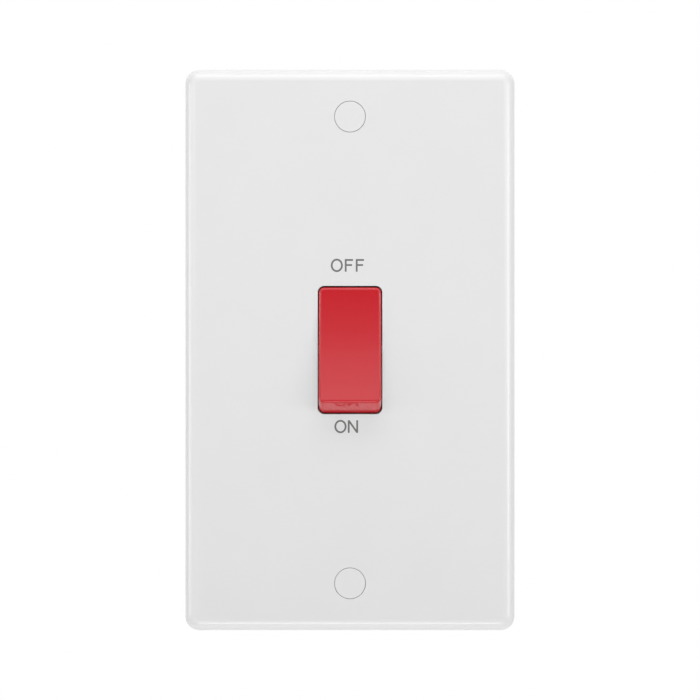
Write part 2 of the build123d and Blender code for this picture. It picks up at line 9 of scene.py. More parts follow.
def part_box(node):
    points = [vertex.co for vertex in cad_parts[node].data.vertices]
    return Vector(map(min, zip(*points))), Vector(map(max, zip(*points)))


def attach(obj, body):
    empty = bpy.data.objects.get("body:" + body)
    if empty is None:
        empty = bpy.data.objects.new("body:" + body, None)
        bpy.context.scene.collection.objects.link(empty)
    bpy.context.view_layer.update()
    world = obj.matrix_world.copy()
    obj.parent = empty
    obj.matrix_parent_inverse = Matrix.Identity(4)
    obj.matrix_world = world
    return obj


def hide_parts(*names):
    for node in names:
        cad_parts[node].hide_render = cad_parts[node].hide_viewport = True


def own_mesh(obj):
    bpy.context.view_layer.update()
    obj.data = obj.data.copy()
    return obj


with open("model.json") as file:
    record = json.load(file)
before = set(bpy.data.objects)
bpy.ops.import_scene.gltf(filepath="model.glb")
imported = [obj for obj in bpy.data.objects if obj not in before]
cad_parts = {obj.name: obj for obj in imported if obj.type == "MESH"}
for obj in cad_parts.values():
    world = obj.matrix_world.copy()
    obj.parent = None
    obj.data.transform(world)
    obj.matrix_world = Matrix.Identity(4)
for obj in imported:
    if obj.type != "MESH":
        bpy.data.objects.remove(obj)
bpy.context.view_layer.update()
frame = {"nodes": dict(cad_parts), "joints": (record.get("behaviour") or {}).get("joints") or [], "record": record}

bl_info = {
    "name": "Cooker switch",
    "version": (1, 0, 0),
    "blender": (4, 5, 0),
    "location": "View3D > Sidebar > Cooker switch",
    "description": "Models and finishes a double-pole cooker switch around its packed frame",
    "category": "Object",
}

# The frame is in metres: x to the right, y into the wall, z up, and y = 0 on the wall.
MM = 0.001

# Points closer than the first lie at one place, and points closer than the second are merged
TOUCH = 0.002 * MM
MERGE = TOUCH / 4


def joint(name):
    """A joint of the frame by its name."""
    return next(j for j in frame["joints"] if j["name"] == name)


def mount(name):
    """A mount of the frame's record by its name."""
    return next(m for m in frame["record"]["mounts"] if m["name"] == name)


# Places that the frame gives; the rocker tilts as far to one side of level as to the other
PLATE_LOW, PLATE_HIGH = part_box("front_plate")
CAP_LOW, CAP_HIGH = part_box("upper_screw_cap")
BASE_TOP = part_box("switch_base")[1].z
FACE = PLATE_LOW.y
PIVOT = Vector(joint("rocker_tilt")["pos_m"])
TILT = math.radians(max(joint("rocker_tilt")["range_deg"])) / 2
POLE_OFFSET = joint("live_contact_rock")["pos_m"][0]
FIXING_HEIGHT = mount("fixing_screws")["dims"]["spacing_y_mm"] * MM / 2
FIXING_HOLE_RADIUS = mount("fixing_screws")["dims"]["hole_r_mm"] * MM
TERMINAL_X = mount("live_load_cable")["pos_m"][0]
TERMINAL_Z = mount("live_load_cable")["pos_m"][2]
EARTH_X = mount("earth_cable")["pos_m"][0]

# The two poles, the two sides of a middle, and directions
POLES = (("live", 1), ("neutral", -1))
SIDES = (1, -1)
ALONG_Y = Vector((0, 1, 0))
ALONG_Z = Vector((0, 0, 1))

# Fineness of round forms
ROUND_VERTICES = 96
EDGE_SEGMENTS = 14
CORNER_SEGMENTS = 16
SMALL_SEGMENTS = 4
BASE_EDGE_SEGMENTS = 2
CHAMFER_SEGMENTS = 1
OPENING_ROWS = 12
ROCKER_DEPTH_ROWS = 8
ROCKER_HEIGHT_ROWS = 56
RING_VERTICES = 64
THREAD_VERTICES = 32
THREAD_ROWS = 6
WIRE_VERTICES = 12
COIL_STEPS = 32

# Angles between faces that are shaded as one round, count as one flat, or meet in a sharp edge
ROUND_LIMIT = math.radians(32)
COIL_ROUND_LIMIT = math.radians(50)
FLAT_LIMIT = math.radians(1)
SHARP_LIMIT = math.radians(40)

# A face looks along an axis when at least this much of its normal does
FACING = 0.5

# How far a cutting tool runs past the piece, and a joined one into it
OVERRUN = 1.0 * MM
SINK = 0.02 * MM

# Behind the plate
HOLLOW_EDGE = 0.8 * MM
RIB_THICKNESS = 1.6 * MM
RIB_HEIGHT = 2.6 * MM
RIB_BASE_GAP = 2.0 * MM
BOSS_RADIUS = 6.27 * MM
HEAD_BORE_RADIUS = 3.6 * MM
HEAD_BORE_DEPTH = 4.2 * MM
BEARING_START = 8.75 * MM
BEARING_END = 10.95 * MM
BEARING_RADIUS = 1.75 * MM
CHEEK_HALF_HEIGHT = 4.4 * MM
EAR_X = 20.0 * MM
EAR_Z = 26.0 * MM
EAR_FRONT = -1.0 * MM
POST_RADIUS = 3.2 * MM
PILOT_RADIUS = 1.5 * MM
PILOT_FRONT = -6.3 * MM
TERMINAL_START = 17.0 * MM
TERMINAL_LEG = 8.4 * MM
EARTH_LEG = 5.4 * MM
LEG_GAP = 0.1 * MM
BASE_EDGE = 0.2 * MM

# Screws; a thread is given by its pitch, and its depth is a share of that
THREAD_DEPTH_SHARE = 0.5
SCREW_TIP_EDGE = 0.5 * MM
SLOT_WIDTH = 0.9 * MM
SLOT_DEPTH = 1.1 * MM
TERMINAL_SCREW_RADIUS = 2.5 * MM
TERMINAL_SCREW_SPACING = 6.4 * MM
TERMINAL_THREAD = 0.8 * MM
EARTH_SCREW_RADIUS = 2.0 * MM
EARTH_SCREW_SPACING = 8.0 * MM
EARTH_THREAD = 0.7 * MM
BASE_SCREW_RADIUS = 1.45 * MM
BASE_THREAD = 1.1 * MM
BASE_HEAD_RADIUS = 2.8 * MM
BASE_HEAD_HEIGHT = 1.9 * MM
BASE_HEAD_EDGE = 0.8 * MM

# Letter forms, and the left edge of each letter; the F's arm starts at a share of its height
F_WIDTH = 2.12 * MM
F_ARM = 1.87 * MM
F_ARM_SHARE = 0.455
N_WIDTH = 2.64 * MM
N_DIAGONAL = 0.8 * MM
OFF_O_WIDTH = 3.10 * MM
ON_O_WIDTH = 3.12 * MM
OFF_LEFTS = (-4.96 * MM, -1.34 * MM, 1.50 * MM)
ON_LEFTS = (-4.02 * MM, -0.56 * MM)

# Plastics: roughness, specular level, strength of the moulded skin, swing of the tone
PLASTICS = {
    "white_moulding": (0.18, 0.65, 0.1, 0.03),
    "red_moulding": (0.08, 0.5, 0.03, 0.03),
    "grey_print": (0.45, 0.5, 0.3, 0.15),
    "matt_base_plastic": (0.42, 0.5, 0.35, 0.08),
    "natural_nylon": (0.38, 0.5, 0.2, 0.06),
}

# Metals: colour of the tarnish, amount of it, roughness where it is bright
METALS = {
    "plated_brass": ((0.30, 0.19, 0.08, 1), 0.5, 0.22),
    "zinc_screw": ((0.28, 0.27, 0.25, 1), 0.45, 0.26),
    "spring_wire": ((0.20, 0.19, 0.18, 1), 0.5, 0.24),
    "machined_brass": ((0.26, 0.15, 0.06, 1), 0.45, 0.26),
    "rolled_copper": ((0.24, 0.09, 0.05, 1), 0.5, 0.28),
    "contact_silver": ((0.35, 0.32, 0.27, 1), 0.35, 0.22),
}

# Relief, noise and gloss of the surfaces, and the tone of the light that the rocker throws
RELIEF_DEPTH = 0.02 * MM
METAL_RELIEF = 0.25
NOISE_MEAN = 0.5
CLOUD_DETAIL = 3
GRAIN_DETAIL = 2
PATCH_DETAIL = 4
LINE_DETAIL = 3
LINE_STRETCH = (6.0, 6.0, 0.4)
TARNISH_ROUGHNESS = 0.5
ROCKER_BOUNCE = (0.7, 0.7, 0.7, 1)

# Lamps: azimuth and elevation in degrees, distance, width and height in metres, brightness,
# and whether glossy surfaces mirror them
LAMPS = (
    ("lens_lamp", 0, 4.5, 1.15, 0.3, 0.06, 0.3, True),
    ("left_fill_lamp", -38, 12, 1.2, 0.5, 0.6, 1.0, True),
    ("right_fill_lamp", 38, 12, 1.2, 0.5, 0.6, 1.35, True),
    ("left_lamp", -62, 0, 1.1, 0.3, 0.34, 1.5, True),
    ("far_left_lamp", -80, 0, 1.1, 0.35, 0.34, 3.3, True),
    ("right_lamp", 58, 0, 1.1, 0.3, 0.34, 4.2, True),
    ("far_right_lamp", 76, 0, 1.1, 0.35, 0.34, 1.0, True),
    ("top_lamp", 0, 62, 0.36, 0.4, 0.14, 2.2, True),
    ("over_lamp", 0, 92, 0.7, 0.5, 0.4, 0.5, True),
    ("low_lamp", 0, -50, 0.75, 0.2, 0.13, 4.2, True),
    ("under_lamp", 0, -80, 0.58, 0.24, 0.3, 2.6, False),
    ("left_back_lamp", -140, 30, 1.2, 0.6, 0.6, 2.4, False),
    ("right_back_lamp", 140, 30, 1.2, 0.6, 0.6, 2.4, False),
)

# Cards before the switch: lower and upper elevation in degrees, width in metres, brightness,
# and the shares of the height that fade at the lower and at the upper end
CARDS = (
    ("key_card", 17.95, 42.79, 1.0, 1.85, 0.5, 0.1),
    ("upper_card", 2.14, 21.19, 0.3, 0.34, 0.2, 0.66),
    ("lower_card", -17.84, -3.83, 0.3, 0.02, 0.1, 0.4),
)
CARD_DISTANCE = 1.1

# Floor, which whitens from a least value between two shares of its radius
FLOOR_TONE = (0.82, 0.82, 0.82, 1)
FLOOR_ROUGHNESS = 0.8
FLOOR_FADE_START = 0.25
FLOOR_FADE_END = 0.9
FLOOR_LEAST_WHITE = 0.55

# World and camera
WHITE_LIGHT = (1, 1, 1, 1)
CAMERA_NEAR = 10 * MM


def length(name, description, default):
    """A size in metres that a user may change."""
    return FloatProperty(
        name=name, description=description, default=default, min=0, unit="LENGTH", precision=5
    )


def angle(name, description, default):
    """An angle that a user may change."""
    return FloatProperty(
        name=name, description=description, default=default, subtype="ANGLE", unit="ROTATION"
    )


def number(name, description, default):
    """A plain value that a user may change."""
    return FloatProperty(name=name, description=description, default=default, min=0, precision=3)


def colour(name, description, default):
    """A linear colour that a user may change."""
    return FloatVectorProperty(
        name=name, description=description, default=default, subtype="COLOR", size=4, min=0, max=1
    )


class PlateSizes(bpy.types.PropertyGroup):
    """Sizes of the front plate."""

    width: length("Width", "Width of the plate at the wall", PLATE_HIGH.x - PLATE_LOW.x)
    height: length("Height", "Height of the plate at the wall", PLATE_HIGH.z - PLATE_LOW.z)
    wall: length("Wall", "Thickness of the front wall", 2.8 * MM)
    rim: length("Rim", "Thickness of the side walls", 2.5 * MM)
    draft: angle("Draft", "Lean of the side walls", math.radians(3))
    corner_radius: length("Corner radius", "Radius of the four corners seen from the front", 3.6 * MM)
    edge_radius: length("Edge radius", "Radius of the round from face to sides", 3.0 * MM)
    aperture_width: length("Opening width", "Width of the rocker's opening", 16.64 * MM)
    aperture_height: length("Opening height", "Height of the rocker's opening at the face", 33.04 * MM)
    aperture_corner: length("Opening corner", "Corner radius of the rocker's opening", 1.7 * MM)
    aperture_edge: length("Opening edge", "Round on the edge of the rocker's opening", 0.15 * MM)
    seat_edge: length("Cap seat edge", "Round on the edge of a cap's seat", 0.08 * MM)


class CapSizes(bpy.types.PropertyGroup):
    """Sizes of the two screw caps."""

    radius: length("Radius", "Radius of the cap", (CAP_HIGH.x - CAP_LOW.x) / 2)
    gap: length("Gap", "Gap between a cap and its seat", 0.12 * MM)
    thickness: length("Thickness", "Thickness of the cap's disc", 1.2 * MM)
    edge_radius: length("Edge radius", "Round on the cap's front edge", 0.15 * MM)
    spigot_radius: length("Spigot radius", "Radius of the tube behind the cap", 3.55 * MM)
    spigot_wall: length("Spigot wall", "Wall of the tube behind the cap", 0.8 * MM)
    spigot_length: length("Spigot length", "Length of the tube behind the cap", 1.6 * MM)


class RockerSizes(bpy.types.PropertyGroup):
    """Sizes of the rocker about its pivot."""

    gap: length("Gap", "Gap between the rocker and its opening", 0.27 * MM)
    pressed_proud: length("Pressed proud", "How far the pressed end stands proud of the plate", 0.3 * MM)
    dish_radius: length("Dish radius", "Radius of the hollow front face", 120 * MM)
    end_lean: angle("End lean", "Lean of the flat end faces on the level rocker", math.radians(15))
    edge_radius: length("Edge radius", "Round on the edges of the front face", 0.7 * MM)
    wall: length("Wall", "Thickness of the rocker's walls", 1.7 * MM)
    rim: length("Rim", "Distance from the pivot to the back rim", 1.2 * MM)
    trunnion_radius: length("Trunnion radius", "Radius of the pivot pins", 1.7 * MM)
    trunnion_length: length("Trunnion length", "Length of the pivot pins", 2.7 * MM)
    lug_radius: length("Lug radius", "Radius of the cheeks that carry the pins", 3.3 * MM)
    barrel_radius: length("Barrel radius", "Radius of the plunger barrels", 3.2 * MM)
    barrel_reach: length("Barrel reach", "Reach of the barrels behind the pivot", 5.5 * MM)
    barrel_bore: length("Barrel bore", "Bore radius of the barrels", 2.25 * MM)
    barrel_end: length("Barrel end", "Wall between a barrel's bore and the front face", 1.85 * MM)


class LetterSizes(bpy.types.PropertyGroup):
    """Sizes and places of the printed words."""

    cap_height: length("Cap height", "Height of the straight letters", 3.25 * MM)
    overshoot: length("Overshoot", "How far the round letters pass the straight ones", 0.09 * MM)
    stroke: length("Stroke", "Width of the strokes", 0.46 * MM)
    ink: length("Ink", "Thickness of the print", 0.012 * MM)
    off_base: length("OFF base", "Foot of the upper word above the middle", 20.24 * MM)
    on_drop: length("ON drop", "Foot of the lower word below the middle", 21.40 * MM)


class SpringSizes(bpy.types.PropertyGroup):
    """Sizes of the two plunger springs."""

    start: length("Start", "Distance behind the pivot at which a spring starts", 1.0 * MM)
    rest_length: length("Rest length", "Length of a spring at rest", 6.24 * MM)
    turns: number("Turns", "Turns of a spring", 4.5)
    coil_radius: length("Coil radius", "Radius of a coil at the middle of its wire", 1.75 * MM)
    wire_radius: length("Wire radius", "Radius of the wire", 0.25 * MM)


class Finishes(bpy.types.PropertyGroup):
    """Colours of the finishes."""

    white: colour("White", "Moulded white of the plate", (0.80, 0.80, 0.80, 1))
    red: colour("Red", "Moulded red of the rocker", (0.59, 0.010, 0.019, 1))
    base: colour("Base", "Moulded off-white of the base", (0.62, 0.61, 0.58, 1))
    ink: colour("Ink", "Grey of the print", (0.155, 0.155, 0.150, 1))
    brass: colour("Brass", "Bare brass of the terminals", (0.72, 0.50, 0.21, 1))
    copper: colour("Copper", "Bare copper of the contacts", (0.80, 0.36, 0.22, 1))
    silver: colour("Silver", "Silver of the contact tips", (0.88, 0.87, 0.84, 1))
    steel: colour("Steel", "Bright zinc on the screws", (0.62, 0.63, 0.64, 1))
    nylon: colour("Nylon", "Natural nylon of the plungers", (0.70, 0.67, 0.58, 1))


class StageSettings(bpy.types.PropertyGroup):
    """Camera, light and floor."""

    camera_distance: length("Camera distance", "Distance from the camera to the wall plane", 862.7 * MM)
    view_angle: angle("View angle", "Angle across the picture", math.radians(12.1))
    lamp_level: number("Lamp level", "Brightness of all lamps together", 1.0)
    ambient: number("Ambient", "Level of the light from all round", 0.48)
    floor_drop: length("Floor drop", "Height of the part above the floor", 550 * MM)
    floor_radius: length("Floor radius", "Radius of the floor", 900 * MM)


class CookerSwitch(bpy.types.PropertyGroup):
    """All that a user may change on the switch."""

    plate: PointerProperty(type=PlateSizes)
    caps: PointerProperty(type=CapSizes)
    rocker: PointerProperty(type=RockerSizes)
    letters: PointerProperty(type=LetterSizes)
    spring: PointerProperty(type=SpringSizes)
    finishes: PointerProperty(type=Finishes)
    stage: PointerProperty(type=StageSettings)


# Modelling helpers


def activate(piece):
    """Make a piece the only selected object, in object mode."""
    if bpy.context.mode != "OBJECT":
        bpy.ops.object.mode_set(mode="OBJECT")
    bpy.ops.object.select_all(action="DESELECT")
    piece.select_set(True)
    bpy.context.view_layer.objects.active = piece


def apply_place(name):
    """Name the object just added and put its place into its mesh."""
    piece = bpy.context.object
    piece.name = name
    piece.data.name = name
    bpy.ops.object.transform_apply(location=True, rotation=True, scale=True)
    return piece


def new_block(name, low, high):
    """A block between two corners."""
    low = Vector(low)
    high = Vector(high)
    bpy.ops.object.select_all(action="DESELECT")
    bpy.ops.mesh.primitive_cube_add(size=1, location=(low + high) / 2, scale=high - low)
    return apply_place(name)


def new_rod(name, start, end, radius, vertices=ROUND_VERTICES):
    """A round rod between two points."""
    start = Vector(start)
    axis = Vector(end) - start
    turn = axis.to_track_quat("Z", "Y").to_euler()
    bpy.ops.object.select_all(action="DESELECT")
    bpy.ops.mesh.primitive_cylinder_add(
        vertices=vertices, radius=radius, depth=axis.length, location=start + axis / 2, rotation=turn
    )
    return apply_place(name)


def open_edit(piece, kind):
    """Enter edit mode on a piece with nothing selected."""
    activate(piece)
    bpy.ops.object.mode_set(mode="EDIT")
    bpy.ops.mesh.select_mode(type=kind)
    bpy.ops.mesh.select_all(action="DESELECT")


def select_edges(piece, test):
    """Enter edit mode with the edges selected whose two ends pass a test."""
    open_edit(piece, "EDGE")
    bpy.ops.object.mode_set(mode="OBJECT")
    points = piece.data.vertices
    for edge in piece.data.edges:
        first, last = edge.vertices
        edge.select = test(points[first].co, points[last].co)
    bpy.ops.object.mode_set(mode="EDIT")


def select_faces(piece, test):
    """Enter edit mode with the faces selected whose centre and normal pass a test."""
    open_edit(piece, "FACE")
    bpy.ops.object.mode_set(mode="OBJECT")
    for face in piece.data.polygons:
        face.select = test(face.center, face.normal)
    bpy.ops.object.mode_set(mode="EDIT")


def bevel_edges(piece, test, radius, segments):
    """Round the edges whose two ends pass a test."""
    select_edges(piece, test)
    bpy.ops.mesh.bevel(offset=radius, segments=segments, affect="EDGES", clamp_overlap=True)
    bpy.ops.object.mode_set(mode="OBJECT")


def combine(piece, tool, operation):
    """Add a tool to a piece or cut it away, and remove the tool."""
    modifier = piece.modifiers.new("combine", "BOOLEAN")
    modifier.operation = operation
    modifier.solver = "EXACT"
    modifier.object = tool
    activate(piece)
    bpy.ops.object.modifier_apply(modifier=modifier.name)
    bpy.data.objects.remove(tool, do_unlink=True)


def slice_rows(piece, normal, low, high, rows):
    """Cut a piece's faces into even rows along a direction, and keep all of it."""
    step = (high - low) / rows
    open_edit(piece, "VERT")
    for row in range(1, rows):
        bpy.ops.mesh.select_all(action="SELECT")
        bpy.ops.mesh.bisect(plane_co=normal * (low + step * row), plane_no=normal)
    bpy.ops.object.mode_set(mode="OBJECT")


def place_piece(piece, location, turn=0.0):
    """Turn a piece about the x axis at the origin, move it and put its place into its mesh."""
    piece.rotation_euler.x = turn
    piece.location = location
    activate(piece)
    bpy.ops.object.transform_apply(location=True, rotation=True, scale=True)
    return piece


def copy_piece(piece, name, offset):
    """A copy of a piece, with its own mesh, moved by an offset."""
    activate(piece)
    bpy.ops.object.duplicate()
    bpy.context.object.location = offset
    return apply_place(name)


def smooth_piece(piece, limit=ROUND_LIMIT):
    """Shade a piece smooth across its rounds, with its flat faces kept flat."""
    activate(piece)
    bpy.ops.object.shade_smooth_by_angle(angle=limit)
    modifier = piece.modifiers.new("flat_faces", "WEIGHTED_NORMAL")
    modifier.keep_sharp = True
    bpy.ops.object.modifier_apply(modifier=modifier.name)


def tidy_mesh(piece):
    """Merge doubles and point the faces outward."""
    open_edit(piece, "FACE")
    bpy.ops.mesh.select_all(action="SELECT")
    bpy.ops.mesh.remove_doubles(threshold=MERGE)
    bpy.ops.mesh.normals_make_consistent(inside=False)
    bpy.ops.object.mode_set(mode="OBJECT")


def complete(piece, body, slot, material, *nodes):
    """Give a finished piece its material and its body, and hide the imported nodes that it stands for."""
    piece.data.materials.clear()
    piece.data.materials.append(material)
    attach(piece, body)
    if nodes:
        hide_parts(*nodes)


# Shader helpers


def node_group(name, inputs, outputs):
    """A shader node group with named sockets, and its two end nodes."""
    group = bpy.data.node_groups.new(name, "ShaderNodeTree")
    for label, kind, default in inputs:
        socket = group.interface.new_socket(label, in_out="INPUT", socket_type=kind)
        if default is not None:
            socket.default_value = default
    for label, kind in outputs:
        group.interface.new_socket(label, in_out="OUTPUT", socket_type=kind)
    return group, group.nodes.new("NodeGroupInput"), group.nodes.new("NodeGroupOutput")


def math_node(tree, operation, first, second):
    """A Math node whose two inputs are sockets or numbers."""
    node = tree.nodes.new("ShaderNodeMath")
    node.operation = operation
    for socket, value in zip(node.inputs, (first, second)):
        if isinstance(value, (int, float)):
            socket.default_value = value
        else:
            tree.links.new(value, socket)
    return node.outputs[0]


def noise_node(tree, vector, scale, detail):
    """A noise texture whose vector and scale are sockets."""
    node = tree.nodes.new("ShaderNodeTexNoise")
    node.inputs["Detail"].default_value = detail
    tree.links.new(vector, node.inputs["Vector"])
    tree.links.new(scale, node.inputs["Scale"])
    return node.outputs["Fac"]


def make_mould_grain():
    """Moulded plastic: cloudy tone, uneven gloss and a fine skin."""
    group, entry, exit_node = node_group(
        "mould_grain",
        [
            ("Vector", "NodeSocketVector", None),
            ("Colour", "NodeSocketColor", (0.8, 0.8, 0.8, 1)),
            ("Mottle", "NodeSocketFloat", 0.02),
            ("Roughness", "NodeSocketFloat", 0.25),
            ("Gloss Spread", "NodeSocketFloat", 0.06),
            ("Cloud Scale", "NodeSocketFloat", 70.0),
            ("Grain Scale", "NodeSocketFloat", 5000.0),
        ],
        [("Colour", "NodeSocketColor"), ("Roughness", "NodeSocketFloat"), ("Height", "NodeSocketFloat")],
    )
    cloud = noise_node(group, entry.outputs["Vector"], entry.outputs["Cloud Scale"], CLOUD_DETAIL)
    grain = noise_node(group, entry.outputs["Vector"], entry.outputs["Grain Scale"], GRAIN_DETAIL)
    swing = math_node(group, "SUBTRACT", cloud, NOISE_MEAN)
    tone = math_node(group, "ADD", math_node(group, "MULTIPLY", swing, entry.outputs["Mottle"]), 1.0)
    shade = group.nodes.new("ShaderNodeVectorMath")
    shade.operation = "SCALE"
    group.links.new(entry.outputs["Colour"], shade.inputs[0])
    group.links.new(tone, shade.inputs["Scale"])
    spread = math_node(group, "MULTIPLY", swing, entry.outputs["Gloss Spread"])
    rough = math_node(group, "ADD", entry.outputs["Roughness"], spread)
    group.links.new(shade.outputs[0], exit_node.inputs["Colour"])
    group.links.new(rough, exit_node.inputs["Roughness"])
    group.links.new(grain, exit_node.inputs["Height"])
    return group


def make_worn_metal():
    """Bare metal: patches of tarnish, drawn lines and uneven gloss."""
    group, entry, exit_node = node_group(
        "worn_metal",
        [
            ("Vector", "NodeSocketVector", None),
            ("Colour", "NodeSocketColor", (0.7, 0.6, 0.4, 1)),
            ("Tarnish Colour", "NodeSocketColor", (0.3, 0.2, 0.1, 1)),
            ("Tarnish", "NodeSocketFloat", 0.3),
            ("Roughness", "NodeSocketFloat", 0.28),
            ("Patch Scale", "NodeSocketFloat", 260.0),
            ("Line Scale", "NodeSocketFloat", 900.0),
        ],
        [("Colour", "NodeSocketColor"), ("Roughness", "NodeSocketFloat"), ("Height", "NodeSocketFloat")],
    )
    patch = noise_node(group, entry.outputs["Vector"], entry.outputs["Patch Scale"], PATCH_DETAIL)
    stretch = group.nodes.new("ShaderNodeVectorMath")
    stretch.operation = "MULTIPLY"
    stretch.inputs[1].default_value = LINE_STRETCH
    group.links.new(entry.outputs["Vector"], stretch.inputs[0])
    lines = noise_node(group, stretch.outputs[0], entry.outputs["Line Scale"], LINE_DETAIL)
    dull = math_node(group, "MULTIPLY", patch, entry.outputs["Tarnish"])
    blend = group.nodes.new("ShaderNodeMix")
    blend.data_type = "RGBA"
    group.links.new(dull, blend.inputs["Factor"])
    group.links.new(entry.outputs["Colour"], blend.inputs["A"])
    group.links.new(entry.outputs["Tarnish Colour"], blend.inputs["B"])
    matt = math_node(group, "MULTIPLY", dull, TARNISH_ROUGHNESS)
    rough = math_node(group, "ADD", entry.outputs["Roughness"], matt)
    group.links.new(blend.outputs["Result"], exit_node.inputs["Colour"])
    group.links.new(rough, exit_node.inputs["Roughness"])
    group.links.new(lines, exit_node.inputs["Height"])
    return group


def shared_group(name, maker):
    """A node group by its name, made on first use."""
    return bpy.data.node_groups.get(name) or maker()


def textured_material(name, group, values, strength, constants):
    """A material whose colour, gloss and relief come from a node group on Object coordinates."""
    material = bpy.data.materials.new(name)
    material.use_nodes = True
    tree = material.node_tree
    shader = tree.nodes["Principled BSDF"]
    for socket, value in constants.items():
        shader.inputs[socket].default_value = value
    place = tree.nodes.new("ShaderNodeTexCoord")
    effect = tree.nodes.new("ShaderNodeGroup")
    effect.node_tree = group
    for socket, value in values.items():
        effect.inputs[socket].default_value = value
    relief = tree.nodes.new("ShaderNodeBump")
    relief.inputs["Strength"].default_value = strength
    relief.inputs["Distance"].default_value = RELIEF_DEPTH
    tree.links.new(place.outputs["Object"], effect.inputs["Vector"])
    tree.links.new(effect.outputs["Colour"], shader.inputs["Base Color"])
    tree.links.new(effect.outputs["Roughness"], shader.inputs["Roughness"])
    tree.links.new(effect.outputs["Height"], relief.inputs["Height"])
    tree.links.new(relief.outputs["Normal"], shader.inputs["Normal"])
    return material


def plastic(name, tone):
    """A plastic of the table in one colour, made on first use."""
    roughness, specular, skin, mottle = PLASTICS[name]
    values = {"Colour": tone, "Mottle": mottle, "Roughness": roughness}
    constants = {"Specular IOR Level": specular}
    group = shared_group("mould_grain", make_mould_grain)
    return bpy.data.materials.get(name) or textured_material(name, group, values, skin, constants)


def throw_neutral_light(material, tone):
    """Let a strongly coloured material light its neighbours in a plain tone."""
    tree = material.node_tree
    target = tree.nodes["Principled BSDF"].inputs["Base Color"]
    path = tree.nodes.new("ShaderNodeLightPath")
    blend = tree.nodes.new("ShaderNodeMix")
    blend.data_type = "RGBA"
    blend.inputs["B"].default_value = tone
    tree.links.new(path.outputs["Is Diffuse Ray"], blend.inputs["Factor"])
    tree.links.new(target.links[0].from_socket, blend.inputs["A"])
    tree.links.new(blend.outputs["Result"], target)


def metal(name, tone):
    """A bare or plated metal of the table, made on first use."""
    tarnish_colour, tarnish, roughness = METALS[name]
    values = {"Colour": tone, "Tarnish Colour": tarnish_colour, "Tarnish": tarnish, "Roughness": roughness}
    constants = {"Metallic": 1.0}
    group = shared_group("worn_metal", make_worn_metal)
    return bpy.data.materials.get(name) or textured_material(name, group, values, METAL_RELIEF, constants)


# Forms that the rocker shares with its opening


def sweep_radius(plate):
    """Radius about the pivot of the end walls of the rocker's opening."""
    return math.hypot(plate.aperture_height / 2, PIVOT.y - FACE)


def rocker_form(name, half_width, low, high, reach, corner):
    """A block in front of a pivot at the origin, with rounded corners seen from the front."""
    piece = new_block(name, (-half_width, -high, -reach), (half_width, -low, reach))
    bevel_edges(piece, lambda a, b: abs(a.y - b.y) > (high - low) / 2, corner, EDGE_SEGMENTS)
    return piece


def shape_block(piece, low, high, end, front):
    """Fit a block's ends to a profile out from the pivot, and its front to one up the rocker."""
    reach = max(point.co.z for point in piece.data.vertices)
    for point in piece.data.vertices:
        out = -point.co.y
        point.co.z *= end(out) / reach
        share = (out - low) / (high - low)
        point.co.y = -low - share * (front(point.co.z) - low)


# Front plate


def drafted_block(name, width, height, back, front, draft, corner, edge):
    """A rounded block whose sides lean in toward its front face."""
    piece = new_block(name, (-width / 2, front, -height / 2), (width / 2, back, height / 2))
    depth = back - front
    lean = depth * math.tan(draft)
    shrink = (1 - 2 * lean / width, 1, 1 - 2 * lean / height)
    select_faces(piece, lambda centre, normal: normal.y < -FACING)
    bpy.ops.transform.resize(value=shrink, center_override=(0, front, 0))
    bpy.ops.object.mode_set(mode="OBJECT")
    bevel_edges(piece, lambda a, b: abs(a.y - b.y) > depth / 2, corner, CORNER_SEGMENTS)
    bevel_edges(piece, lambda a, b: max(a.y, b.y) < front + TOUCH, edge, EDGE_SEGMENTS)
    return piece


def plate_hollow(sizes):
    """The hollow behind the plate, open toward the wall."""
    spread = 2 * (OVERRUN * math.tan(sizes.draft) - sizes.rim)
    return drafted_block(
        "hollow", sizes.width + spread, sizes.height + spread, OVERRUN, FACE + sizes.wall,
        sizes.draft, sizes.corner_radius - sizes.rim, HOLLOW_EDGE,
    )


def plate_ribs(sizes):
    """Screw bosses and stiffening ribs behind the plate, one at a time."""
    inner = FACE + sizes.wall
    front = inner - SINK
    back = inner + RIB_HEIGHT
    half = RIB_THICKNESS / 2
    reach_x = (sizes.width - sizes.rim) / 2 - sizes.wall * math.tan(sizes.draft)
    reach_z = (sizes.height - sizes.rim) / 2 - sizes.wall * math.tan(sizes.draft)
    for end in SIDES:
        z = end * FIXING_HEIGHT
        yield new_rod("fixing_boss", (0, front, z), (0, 0, z), BOSS_RADIUS)
        yield new_block("cross_rib", (-reach_x, front, z - half), (reach_x, back, z + half))
        low, high = sorted((end * (BASE_TOP + RIB_BASE_GAP), end * reach_z))
        yield new_block("long_rib", (-half, front, low), (half, back, high))


def hold_down_leg(x, z, size, front, end):
    """The two blades of a cross-shaped leg that keeps a terminal in its pocket."""
    half = RIB_THICKNESS / 2
    yield new_block("leg", (x - size / 2, front, z - half), (x + size / 2, end, z + half))
    yield new_block("leg", (x - half, front, z - size / 2), (x + half, end, z + size / 2))


